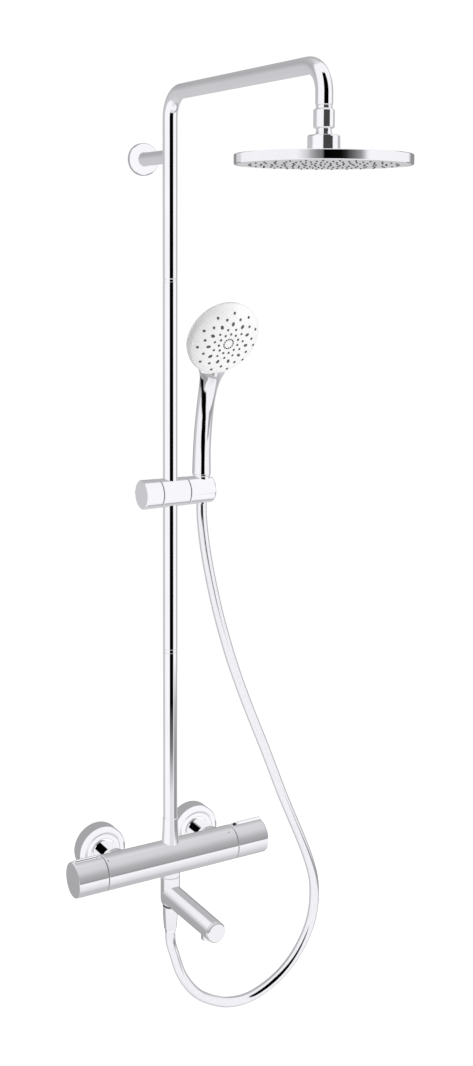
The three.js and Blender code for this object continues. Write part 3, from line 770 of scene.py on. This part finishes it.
def rain_head():
    """The round shell, the spray plate under it and the plate's nozzles."""
    shell = [
        (7, HEAD_TOP_Z - 2.4), (97.2, HEAD_TOP_Z - 2.4), (97.6, HEAD_TOP_Z - 3),
        (97.6, HEAD_BOTTOM_Z), (99.3, HEAD_BOTTOM_Z), (HEAD_R, HEAD_BOTTOM_Z + 0.8),
        (HEAD_R, HEAD_TOP_Z - 0.8), (99.3, HEAD_TOP_Z), (7, HEAD_TOP_Z), (7, HEAD_TOP_Z - 2.4),
    ]
    polished("rain_head", [at_head(shell, 0.4, 192)], "rain_head", "rain_head_shell")
    plate = [
        (0, HEAD_BOTTOM_Z + 0.2), (97.2, HEAD_BOTTOM_Z + 0.2), (97.2, HEAD_BOTTOM_Z + 2.6),
        (0, HEAD_BOTTOM_Z + 2.6),
    ]
    disc = at_head(plate, 0.4, 160)
    polished("spray_plate", [disc], "rain_head", "rain_head_spray_plate")
    nozzles = []
    for radius, count in HEAD_NOZZLE_RINGS:
        for i in range(count):
            angle = 2 * math.pi * i / count
            place = (radius * math.cos(angle), HEAD_Y + radius * math.sin(angle), HEAD_BOTTOM_Z)
            nozzles.append(nozzle(Matrix.Translation(place), HEAD_NOZZLE, HEAD_NOZZLE))
    piece("rain_head_nozzles", nozzles, "rain_head", "silicone", ["rain_head_nozzle_mat"])


head_joint()
rain_head()


# ---- the swivelling spout and the hose outlet ----
SPOUT_REACH = 108  # from the column's axis to the aerator's
SLEEVE_BORE_R = 9.5
AERATOR_RINGS = ((0, 1), (3, 6), (6, 12))  # radius, count
AIM = (
    Matrix.Translation((0, COLUMN_Y, SPOUT_Z))
    @ Matrix.Rotation(SPOUT_YAW, 4, "Z")
    @ Matrix.Rotation(math.pi / 2, 4, "X")
)


def spout_tube(outlet):
    """The leaning tube, open to the outlet core at its root and to the aerator near its end."""
    outside = [(0, -0.5), (12.8, -0.5), (14.4, 1), (14.8, 4), (13.95, 127.6), (0, 127.6)]
    tube = mesh_of("spout_tube", [placed(turned(outside, 1.2, 112), AIM)])
    bore = on_column(rod(SLEEVE_BORE_R + 0.05, -90, -20, 0.1), 0.05, 64)
    hole = upright(rod(10.3, -80, SPOUT_Z - 2, 0.1), *outlet, 0.05, 64)
    polished("spout_tube", without(tube, "spout_tube", hole, bore), "spout", "spout_body")


def spout_sleeve():
    """The sleeve that turns on the outlet core and carries the tube."""
    sleeve = [
        (SLEEVE_BORE_R, -27.3), (13.2, -27.3), (13.65, -27.8), (13.65, -60), (13.3, -63.5),
        (12.5, -66.2), (11, -68.6), (SLEEVE_BORE_R, -69.4), (SLEEVE_BORE_R, -27.3),
    ]
    polished("spout_sleeve", [on_column(sleeve, 0.4)], "spout")


def spout_cap():
    cap = [(0, 127.9), (13.9, 127.9), (13.85, 129.6), (13.2, 131), (12, 131.6), (0, 131.6)]
    polished("spout_cap", [placed(turned(cap, 0.5, 112), AIM)], "spout", "spout_end_cap")


def aerator(outlet):
    """A ring with a grey insert under the tube's end, and dark discs in the insert's holes that paint the
    shade inside them.
    """
    ring = pipe(9.9, 8.6, -71, SPOUT_Z - 4)
    insert = rod(8.5, -69.6, SPOUT_Z - 4, 0.3)
    holes = []
    for radius, count in AERATOR_RINGS:
        for i in range(count):
            angle = 2 * math.pi * i / count
            x, y = outlet[0] + radius * math.cos(angle), outlet[1] + radius * math.sin(angle)
            holes.append(upright(rod(0.8, -70.1, -69, 0.2), x, y, 0.1, 12))
    polished("aerator_ring", [upright(ring, *outlet, 0.4, 64)], "spout", "spout_aerator")
    piece("aerator_insert", [upright(insert, *outlet, 0.3, 48)], "spout", "grey_plastic")
    # The holes are not cut: dark discs stand in them as painted shade.
    piece("aerator_grid", holes, "spout", "dark_plastic")


def spout():
    outlet = (SPOUT_REACH * math.sin(SPOUT_YAW), COLUMN_Y - SPOUT_REACH * math.cos(SPOUT_YAW))
    spout_tube(outlet)
    spout_sleeve()
    spout_cap()
    aerator(outlet)


def hose_outlet():
    """The ring that keeps the spout on, then the hose's nut and ferrule."""
    ring = on_column(pipe(10.8, 9.3, -71.4, -69.8), 0.3, 64)
    piece("smooth_retaining_ring", [ring], "column", "dark_plastic", ["spout_retaining_ring"])
    nut = [
        (9.3, -71.8), (10.2, -71.8), (10.5, -72.3), (10.5, -84), (9, -104), (7.9, -104),
        (7.9, -86), (9.3, -84.8), (9.3, -71.8),
    ]
    polished("lower_nut", [on_column(nut, 0.4)], "column", "hose_nut_lower")
    ferrule = pipe(FERRULE_R, FERRULE_BORE_R, -109.7, -85.2)
    polished("lower_ferrule", [on_column(ferrule, 0.3)], "column", "hose_ferrule_lower")


spout()
hose_outlet()


# ---- the slider on the riser ----
SLIDING_BORE_R = 10.5
BUSH_R = 12
BUSH_HALF = 14.5
GAP = 0.3
SEAM_FACE = 0.9  # from a seam's middle to the pieces on both sides of its washer
WASHER_HALF = 0.6
SCREW_BORE_R = 3.5
PIVOT_BORE_R = 5.3


def along_slider(profile, radius=0.3, segments=96):
    return along_bar(profile, SLIDER_Z, radius, segments)


def upright_hole(radius, half):
    """A hole along the riser, half above and half below the slider's middle."""
    return on_column(rod(radius, SLIDER_Z - half, SLIDER_Z + half, 0.1), 0.05)


def slider_bush():
    bush = pipe(BUSH_R, SLIDING_BORE_R, SLIDER_Z - BUSH_HALF, SLIDER_Z + BUSH_HALF)
    piece("smooth_slider_bush", [on_column(bush)], "slide_bush", "dark_plastic", ["slider_bush"])


def clamp_knob():
    """The knob with its nub, and the washer between it and the clamp."""
    knob = [
        (0, SLIDER_LEFT_END), (19, SLIDER_LEFT_END), (20.2, SLIDER_LEFT_END + 1.2),
        (19.9, KNOB_SEAM - 1.3), (19.4, KNOB_SEAM - SEAM_FACE), (3.4, KNOB_SEAM - SEAM_FACE),
        (3.4, KNOB_SEAM - 16), (0, KNOB_SEAM - 16),
    ]
    nub = block((3, 4, 3), (SLIDER_LEFT_END + 2.4, COLUMN_Y + 20.6, SLIDER_Z), 0.8)
    polished("clamp_knob", [along_slider(knob, 0.4, 128), nub], "clamp_knob", "clamp_knob")
    washer = pipe(18.6, SCREW_BORE_R, KNOB_SEAM - WASHER_HALF, KNOB_SEAM + WASHER_HALF)
    piece("smooth_knob_washer", [along_slider(washer, 0.2)], "slider", "dark_plastic", ["knob_washer"])


def slider_clamp():
    """The clamp, cut for the riser, the bush, the clamp screw and the holder's pivot, and the next washer."""
    body = rod(19.7, KNOB_SEAM + SEAM_FACE, HOLDER_SEAM - SEAM_FACE, 0.5)
    clamp = without(
        mesh_of("clamp", [along_slider(body, 0.4, 128)]),
        "clamp",
        upright_hole(SLIDING_BORE_R, 30),
        upright_hole(BUSH_R + GAP, BUSH_HALF + GAP),
        along_slider(rod(SCREW_BORE_R, KNOB_SEAM - 5, 0, 0.1), 0.05, 32),
        along_slider(rod(PIVOT_BORE_R, 13.6, HOLDER_SEAM + 5, 0.1), 0.05, 32),
    )
    polished("slider_clamp", clamp, "slider", "slider_clamp")
    washer = pipe(18.4, PIVOT_BORE_R + 0.1, HOLDER_SEAM - WASHER_HALF, HOLDER_SEAM + WASHER_HALF)
    piece("smooth_holder_washer", [along_slider(washer, 0.2)], "slider", "dark_plastic", ["holder_washer"])


def handset_holder():
    """The holder, cut for the cone nut, the slot that lets the hose in and the pivot."""
    body = [
        (0, HOLDER_SEAM + SEAM_FACE), (19, HOLDER_SEAM + SEAM_FACE), (19.5, HOLDER_SEAM + 1.4),
        (19.3, SLIDER_RIGHT_END - 3), (18.4, SLIDER_RIGHT_END - 1), (16.5, SLIDER_RIGHT_END),
        (0, SLIDER_RIGHT_END),
    ]
    cone = [(0, SLIDER_Z - 25), (10, SLIDER_Z - 25), (12.5, SLIDER_Z + 25), (0, SLIDER_Z + 25)]
    holder = without(
        mesh_of("holder", [along_slider(body, 0.8, 128)]),
        "holder",
        upright(cone, HANDSET_X, COLUMN_Y, 0.05),
        block((30, 16, 60), (HANDSET_X + 15, COLUMN_Y, SLIDER_Z), 0.05),
        along_slider(rod(PIVOT_BORE_R, 10, HOLDER_SEAM + 9.4, 0.1), 0.05, 32),
    )
    polished("handset_holder", holder, "holder", "handset_holder")


def upper_nut():
    """The cone nut and the ferrule at the hose's top end."""
    nut = [
        (7.9, SLIDER_Z - 17), (10.05, SLIDER_Z - 17), (11.85, SLIDER_Z + 19),
        (12.6, SLIDER_Z + 20), (12.6, SLIDER_Z + 22), (10.3, SLIDER_Z + 22), (10.3, 527),
        (7.9, 525), (7.9, SLIDER_Z - 17),
    ]
    polished("upper_nut", [upright(nut, HANDSET_X, COLUMN_Y, 0.3)], "hose_nut", "hose_nut_upper")
    ferrule = pipe(FERRULE_R, FERRULE_BORE_R, HOSE_TOP_Z + GAP, 524)
    polished("upper_ferrule", [upright(ferrule, HANDSET_X, COLUMN_Y)], "hose_nut", "hose_ferrule_upper")


slider_bush()
clamp_knob()
slider_clamp()
handset_holder()
upper_nut()


# ---- the handset ----
HANDLE_LINE = (
    (-84, 541.3), (-84.5, 565), (-86.2, 588), (-90.4, 616.5), (-96.8, 645), (-107.5, 675),
    (-123, 704),
)
HANDLE_RADII = (13, 12.8, 12.6, 12.4, 12.3, 12.2, 12.2, 12.1, 12, 12.1, 12.4, 13.2, 15, 18.4, 22.5)
NECK_FROM_Z, NECK_TO_Z = 678, 704
NECK_WIDTH = 1.45
HANDLE_STEPS = 72
FACE_PROFILE = ((0, 0), (14.6, 0.2), (29, 1.6), (37, 3), (44, 5.2), (47.4, 7), (48.1, 8))


def sampled(values, share):
    """The uniform Catmull-Rom curve through the values, at a share from 0 to 1."""
    last = len(values) - 1
    i = min(int(share * last), last - 1)
    before, after = values[max(i - 1, 0)], values[min(i + 2, last)]
    here, there = values[i], values[i + 1]
    return cubic(here, there, (there - before) / 2, (after - here) / 2, share * last - i)


def face_depth(radius):
    """How far behind its middle the spray face lies at a radius."""
    for (r0, d0), (r1, d1) in zip(FACE_PROFILE, FACE_PROFILE[1:]):
        if radius <= r1:
            return d0 + (d1 - d0) * (radius - r0) / (r1 - r0)
    return FACE_PROFILE[-1][1]


def handset_shell():
    """The curved handle, wider at its neck and cut off behind the face, with the back shell and a spigot."""
    shares = [i / HANDLE_STEPS for i in range(HANDLE_STEPS + 1)]
    middle = [Vector(p) for p in HANDLE_LINE]
    line = [Vector((HANDSET_X, *sampled(middle, share))) for share in shares]
    radii = [sampled(HANDLE_RADII, share) for share in shares]
    line.insert(1, line[0] + Vector((0, 0, 0.4)))
    radii.insert(1, radii[0])
    radii[0] -= 0.4
    points, faces = swept(line, radii, 96, (1, 0, 0))
    for point in points:
        share = min(max((point.z - NECK_FROM_Z) / (NECK_TO_Z - NECK_FROM_Z), 0), 1)
        point.x = HANDSET_X + (point.x - HANDSET_X) * (1 + (NECK_WIDTH - 1) * share)
    shell = mesh_of("handle", [(points, faces)])
    front = behind_face(rod(58.5, -30, BACK_SHELL_FROM + 0.2, 0.1), 0.05)
    polished("handle", without(shell, "handle", front), "handset", "handset_shell")
    back = [
        (0, 39), (8, 38.9), (16, 38.2), (24, 36.8), (32, 34.6), (39, 31.7), (45, 28.2),
        (49.6, 24.3), (51.6, 22), (52, BACK_SHELL_FROM), (0, BACK_SHELL_FROM),
    ]
    polished("back_shell", [behind_face(back, 0.3)], "handset")
    spigot = [(0, 528), (9.6, 528), (10, 528.4), (10, 542.5), (0, 542.5)]
    polished("handle_spigot", [upright(spigot, HANDSET_X, COLUMN_Y)], "handset")


def spray_face():
    """The turning selector ring with its tab, and the white face inside it."""
    selector = [
        (48.38, 7.6), (49.6, 8.3), (50.9, 9.3), (52, 10.8), (52.8, 12.6), (53.2, 14.8), (53, 17.2),
        (52.3, 19), (51.6, BACK_SHELL_FROM - 0.3), (48.38, BACK_SHELL_FROM - 0.3), (48.38, 7.6),
    ]
    tab = placed(block((4.6, 7, 6), (0, 12, -54), 1), FACE_BOX)
    piece(
        "white_selector_ring",
        [behind_face(selector, 0.05), tab],
        "spray_selector",
        "white_plastic",
        ["spray_selector_ring"],
    )
    face = [
        (0, 0), (7, 0.02), (14.6, 0.22), (22, 0.75), (29, 1.6), (37, 3), (44, 5.2), (46.6, 6.55),
        (48.34, 7.55), (48.34, 11.2), (0, 11.2),
    ]
    piece("white_faceplate", [behind_face(face, 0.05)], "handset", "white_plastic", ["handset_faceplate"])


NOZZLES_EACH_RING = 11
FACE_NOZZLE_RINGS = (  # radius, turn in steps, size, stretch outwards
    (14.6, 0, 1.8, 1), (21.9, 0.5, 1.85, 1), (29.25, 0, 2.3, 1.4), (36.6, 0.5, 2.0, 1),
    (44, 0, 2.0, 1),
)
FACE_NOZZLE_RISE = 0.7
CENTRE_HOLES = 14
CENTRE_HOLES_R = 7


def face_nozzles():
    """Five rings of soft nozzles, the third ring's oval, round a ring of pin holes whose shade is painted as
    dark discs.
    """
    nozzles = []
    for radius, offset, size, stretch in FACE_NOZZLE_RINGS:
        for i in range(NOZZLES_EACH_RING):
            angle = -math.pi / 2 + 2 * math.pi * (i + offset) / NOZZLES_EACH_RING
            slope = math.atan2(face_depth(radius + 1) - face_depth(radius - 1), 2)
            place = (
                Matrix.Translation((radius * math.cos(angle), radius * math.sin(angle), face_depth(radius)))
                @ Matrix.Rotation(angle, 4, "Z")
                @ Matrix.Rotation(-slope, 4, "Y")
                @ Matrix.Diagonal((stretch, 1, 1, 1))
            )
            nozzles.append(nozzle(FACE_LATHE @ place, size, FACE_NOZZLE_RISE))
    piece("handset_nozzles", nozzles, "handset", "silicone", ["handset_nozzle_mat"])
    # The pin holes are not cut: dark discs stand in them as painted shade.
    pin_hole_shades = []
    for i in range(CENTRE_HOLES):
        angle = 2 * math.pi * i / CENTRE_HOLES
        x, y = CENTRE_HOLES_R * math.cos(angle), CENTRE_HOLES_R * math.sin(angle)
        place = Matrix.Translation((x, y, 0))
        pin_hole_shades.append(placed(turned(rod(1.25, -0.12, 0.3, 0.05), 0.05, 12), FACE_LATHE @ place))
    piece("mist_outlets", pin_hole_shades, "handset", "dark_plastic")


handset_shell()
spray_face()
face_nozzles()

# ---- the CAD's own inner pieces ----
INNER_LOOKS = {
    "chrome": ("eccentric_union_left", "eccentric_union_right", "outlet_core"),
    "brass": ("thermostatic_cartridge", "flow_cartridge"),
    "steel": (
        "bracket_wall_plate", "bracket_wall_screw", "bracket_tube_screw", "clamp_screw", "holder_pivot",
    ),
    "rubber": ("inlet_washer_left", "inlet_washer_right", "head_inlet_seal", "spout_o_ring"),
    "dark_plastic": ("temperature_stop_ring", "flow_stop_ring", "ball_seat"),
    "white_plastic": ("ball_liner",),
}
for slot, nodes in INNER_LOOKS.items():
    for node in nodes:
        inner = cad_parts[node]
        inner.data.materials.clear()
        inner.data.materials.append(LOOKS[slot])
        inner.visible_glossy = False


# ---- floor and light ----
FLOOR_R = 3000
FLOOR_DEPTH = 20
DOME_R = 20  # metres, of the outermost dome
DOME_GAP = 0.5
DOME_STEP = 2  # degrees


def ease(x, low, high):
    """0 below low, 1 above high, and a smooth rise between."""
    t = min(max((x - low) / (high - low), 0), 1)
    return t * t * (3 - 2 * t)


def within(x, low, high, soft):
    """1 between low and high and 0 outside, with soft edges."""
    return ease(x, low - soft, low + soft) * (1 - ease(x, high - soft, high + soft))


def along(levels, x):
    """The level at x of a line through (place, level) points."""
    for (x0, level0), (x1, level1) in zip(levels, levels[1:]):
        if x <= x1:
            return level0 + (level1 - level0) * max(x - x0, 0) / (x1 - x0)
    return levels[-1][1]


def toward(level, other, share):
    """A share of the way from one level to another."""
    return level + (other - level) * share


DAYLIGHT = (0.985, 0.98, 1.02, 1)
# What the chrome mirrors, by azimuth (0 is straight out from the wall, + to the right) and elevation, in
# degrees. These are (elevation, level) points: the wall side of the upper domes, and the lower dome's sides.
UPPER_BACK = ((-90, 0.72), (-20, 0.6), (0, 0.6), (30, 0.43), (60, 0.55), (90, 0.9))
LOWER_FRONT = (
    (-90, 0.52), (-65, 0.56), (-57, 0.72), (-45, 0.82), (-20, 0.97), (-12.5, 0.97), (-10.5, 0.3),
    (0, 0.38), (21, 0.45), (32, 0.52), (43, 0.61), (55, 0.68), (90, 0.75),
)
LOWER_BACK_RIGHT = (
    (-90, 0.52), (-53, 0.56), (-27, 0.3), (5, 0.4), (20, 0.52), (35, 0.48), (50, 0.63), (62, 0.74),
)
LOWER_BACK_LEFT = ((-90, 0.52), (-40, 0.4), (-10, 0.42), (15, 0.85), (30, 0.95), (50, 0.85), (90, 0.75))
# The black cards, as (azimuth, elevation of the foot, elevation of the top), straight between azimuths.
RISER_CARD = ((-34, -20.6, 62), (23, -20.6, 62))
JOINT_CARD = ((-37, -20.6, 62), (31, -20.6, 62))
NUT_CARD = ((-178, 8, 36), (-138, 8, 36))
HOSE_CARD = ((-45, -9.9, 48), (7, -9.9, 48))
HANDSET_CARD = (
    (-180, -12, -5), (-150, -18, -9.5), (-126, -28, -15.5), (-101, -28.5, -19), (-82, -34, -20.5),
    (-60, -40, -20.5), (-51, -40, -19), (-44, -39, -14), (-35, -37, -9), (-33, -37, 60),
    (-11, -27, 60), (2, -22, 60), (10, -18, 60),
)
CARD_FOOT_LEVEL = 0.78
# (azimuth, level) points: what the head's rim mirrors, a card whose edges fade, crisp only at -34 degrees.
HEAD_BAND = (
    (-166, 0.69), (-160, 0.93), (-66, 0.93), (-61, 0.84), (-53, 0.66), (-48, 0.44), (-43, 0.3),
    (-38, 0.21), (-34.5, 0.22), (-33, 0), (-12, 0.003), (-6, 0.022), (2, 0.12), (7, 0.195),
    (14, 0.32), (18, 0.56), (22, 0.86), (26, 0.95), (100, 0.95), (110, 0.3), (180, 0.3),
)
# (azimuth, level) points: how bright the handset's dome is at most.
HANDSET_BACK = ((-180, 0.38), (-165, 0.42), (-139, 0.65), (-122, 0.95), (180, 0.95))


def covered(card, azimuth, elevation, soft=1.5):
    """How far a card hides a direction, from 0 to 1."""
    foot = along([(a, low) for a, low, _ in card], azimuth)
    top = along([(a, high) for a, _, high in card], azimuth)
    return within(azimuth, card[0][0], card[-1][0], soft) * within(elevation, foot, top, soft)


def pale_room(azimuth, elevation):
    """White all round, and grey on the wall side."""
    level = toward(0.98, 0.8, ease(-elevation, 50, 80))
    behind = ease(abs(azimuth), 108, 126)
    level = toward(level, along(UPPER_BACK, elevation), behind)
    level = toward(level, 0.5, ease(azimuth, 74, 84) * (1 - behind) * (1 - ease(elevation, 15, 40)))
    return toward(level, 0.33, within(azimuth, 34, 94, 2) * within(elevation, -27, -17.5, 1.5))


def upper_studio(azimuth, elevation):
    """The pale room with one tall black card beside the camera, on a light grey foot."""
    foot = within(azimuth, -34, 23, 2) * within(elevation, -40, -20.6, 2)
    level = toward(pale_room(azimuth, elevation), CARD_FOOT_LEVEL, foot)
    return level * (1 - covered(RISER_CARD, azimuth, elevation))


def socket_studio(azimuth, elevation):
    """The pale room with a light grey card in the black one's place."""
    card = within(azimuth, -34, 23, 2) * within(elevation, -40, 62, 2)
    return toward(pale_room(azimuth, elevation), CARD_FOOT_LEVEL, card)


def rose_studio(azimuth, elevation):
    """The pale room with a darker wall side."""
    return toward(pale_room(azimuth, elevation), 0.4, ease(abs(azimuth), 100, 112))


def nut_studio(azimuth, elevation):
    """A white room with one black card on its wall side."""
    return 0.93 * (1 - covered(NUT_CARD, azimuth, elevation))


def joint_studio(azimuth, elevation):
    """The pale room with a wider, nearly black card."""
    return toward(pale_room(azimuth, elevation), 0.06, covered(JOINT_CARD, azimuth, elevation))


def hose_studio(azimuth, elevation):
    """The pale room with a shorter black card, farther left."""
    return pale_room(azimuth, elevation) * (1 - covered(HOSE_CARD, azimuth, elevation))


def head_studio(azimuth, elevation):
    """A white room with a band round it that the head's rim mirrors."""
    return toward(0.95, along(HEAD_BAND, azimuth), within(elevation, -20.6, 42, 1.5))


def handset_studio(azimuth, elevation):
    """A pale room whose card reaches far down to the left, where the leaning handle mirrors it."""
    level = min(pale_room(azimuth, elevation), along(HANDSET_BACK, azimuth))
    level = toward(level, 0.35, within(azimuth, -165, -90, 8) * within(elevation, -62, -24, 6))
    return level * (1 - covered(HANDSET_CARD, azimuth, elevation))


def lower_studio(azimuth, elevation):
    """A pale floor up to a hard horizon, and a grey room that lightens upwards."""
    front = along(LOWER_FRONT, elevation)
    back = along(LOWER_BACK_RIGHT if azimuth > 0 else LOWER_BACK_LEFT, elevation)
    return toward(front, back, ease(abs(azimuth), 96, 116))


def dome_mesh(name, studio, radius):
    """A sphere whose points hold, as their glow, how bright the studio is that way."""
    vertices, levels, faces = [], [], []
    columns = 360 // DOME_STEP
    for row in range(180 // DOME_STEP + 1):
        elevation = row * DOME_STEP - 90
        for column in range(columns):
            azimuth = column * DOME_STEP - 180
            vertices.append(direction(math.radians(azimuth), math.radians(elevation)) * radius)
            levels.append(studio(azimuth, elevation))
            if row:
                other = (column + 1) % columns
                below, here = (row - 1) * columns, row * columns
                faces.append([below + column, below + other, here + other, here + column])
    mesh = bpy.data.meshes.new(name)
    mesh.from_pydata(vertices, [], faces)
    mesh.attributes.new("glow", "FLOAT", "POINT").data.foreach_set("value", levels)
    return mesh


def dome_look(name):
    """Shines by the mesh's glow, over whatever lies behind it."""
    look = bpy.data.materials.new(name)
    look.use_nodes = True
    look.cycles.emission_sampling = "NONE"
    tree = look.node_tree
    tree.nodes.clear()
    attribute = tree.nodes.new("ShaderNodeAttribute")
    attribute.attribute_name = "glow"
    emission = tree.nodes.new("ShaderNodeEmission")
    emission.inputs["Color"].default_value = DAYLIGHT
    through = tree.nodes.new("ShaderNodeBsdfTransparent")
    both = tree.nodes.new("ShaderNodeAddShader")
    out = tree.nodes.new("ShaderNodeOutputMaterial")
    tree.links.new(attribute.outputs["Fac"], emission.inputs["Strength"])
    tree.links.new(emission.outputs["Emission"], both.inputs[0])
    tree.links.new(through.outputs["BSDF"], both.inputs[1])
    tree.links.new(both.outputs["Shader"], out.inputs["Surface"])
    return look


def studio_dome(name, studio, receivers, radius):
    """A dome that only reflections see, and only those in the given pieces."""
    made = in_scene(name, dome_mesh(name, studio, radius), glossy=True)
    made.data.materials.append(dome_look(name))
    for ray in ("camera", "diffuse", "transmission", "volume_scatter", "shadow"):
        setattr(made, "visible_" + ray, False)
    group = bpy.data.collections.new(name + "_receivers")
    for receiver in receivers:
        group.objects.link(receiver)
    made.light_linking.receiver_collection = group


def make_floor():
    outline = [(0, -FLOOR_DEPTH), (FLOOR_R, -FLOOR_DEPTH), (FLOOR_R, 0), (0, 0)]
    disc = placed(turned(outline, 4, 128), Matrix.Translation((0, -300, FLOOR_Z)))
    floor = in_scene("floor", mesh_of("floor", [disc]))
    pale, paler = (0.93, 0.93, 0.93), (0.96, 0.96, 0.96)
    look = finish_of("pale_floor", pale, paler, 3, (0.7, 0.8), (40, 0.02, 0.0001), specular=0.1)
    floor.data.materials.append(look)


def make_world():
    """White to the eye and for soft light; the domes take its place in reflections."""
    world = bpy.data.worlds.new("studio")
    world.use_nodes = True
    world.node_tree.nodes["Background"].inputs["Color"].default_value = (1, 1, 1, 1)
    world.node_tree.nodes["Background"].inputs["Strength"].default_value = 1.02
    world.cycles_visibility.glossy = False
    bpy.context.scene.world = world
    bpy.context.scene.view_settings.view_transform = "Standard"


def lamp(name, kind, power, place, target):
    data = bpy.data.lights.new(name, kind)
    data.energy = power
    made = in_scene(name, data)
    made.location = Vector(place) * MM
    made.rotation_mode = "QUATERNION"
    made.rotation_quaternion = (Vector(target) * MM - made.location).to_track_quat("-Z", "Y")
    return data


def shade_card(centre, size):
    """A black board that only soft light sees, so that the handset's white ring darkens towards it."""
    board = in_scene("shade_card", mesh_of("shade_card", [block(size, centre, 4)]))
    look = finish_of("board_black", (0.004, 0.004, 0.004), (0.01, 0.01, 0.01), 20, (0.8, 0.9), specular=0.0)
    board.data.materials.append(look)
    board.visible_camera = False


# Which pieces each dome shows in, by words in their names. Every other piece takes the upper dome.
DOMES = {
    "head_dome": (head_studio, ("polished_rain_head",)),
    "joint_dome": (joint_studio, ("arm_end_ring", "swivel_sleeve", "ball_stud", "head_boss")),
    "handset_dome": (handset_studio, ("polished_handle", "polished_back_shell")),
    "hose_dome": (hose_studio, ("hose_tube",)),
    "socket_dome": (
        socket_studio,
        ("riser_socket", "polished_clamp_knob", "polished_slider_clamp", "polished_handset_holder"),
    ),
    "rose_dome": (rose_studio, ("polished_rose",)),
    "nut_dome": (nut_studio, ("polished_union_nut",)),
    "lower_dome": (
        lower_studio,
        (
            "mixer",
            "polished_temperature_handle",
            "polished_flow_handle",
            "stop_button",
            "stop_ring",
            "spout",
            "aerator",
            "retaining_ring",
            "outlet_core",
            "lower_nut",
            "lower_ferrule",
        ),
    ),
}

make_floor()
make_world()
lamp("overhead", "SUN", 0.7, (500, -900, 3000), (0, 0, 0)).angle = math.radians(60)
shade_card((-420, -330, 720), (60, 560, 620))
front_light = lamp("front_light", "AREA", 14, (900, -2000, 200), FACE_CENTRE)
front_light.size = 1.6
left_over = [o for o in bpy.data.objects if o.type == "MESH" and o.name not in ("floor", "shade_card")]
for i, (name, (studio, words)) in enumerate(DOMES.items()):
    receivers = [o for o in left_over if any(word in o.name for word in words)]
    left_over = [o for o in left_over if o not in receivers]
    studio_dome(name, studio, receivers, DOME_R - DOME_GAP * i)
studio_dome("upper_dome", upper_studio, left_over, DOME_R - DOME_GAP * len(DOMES))
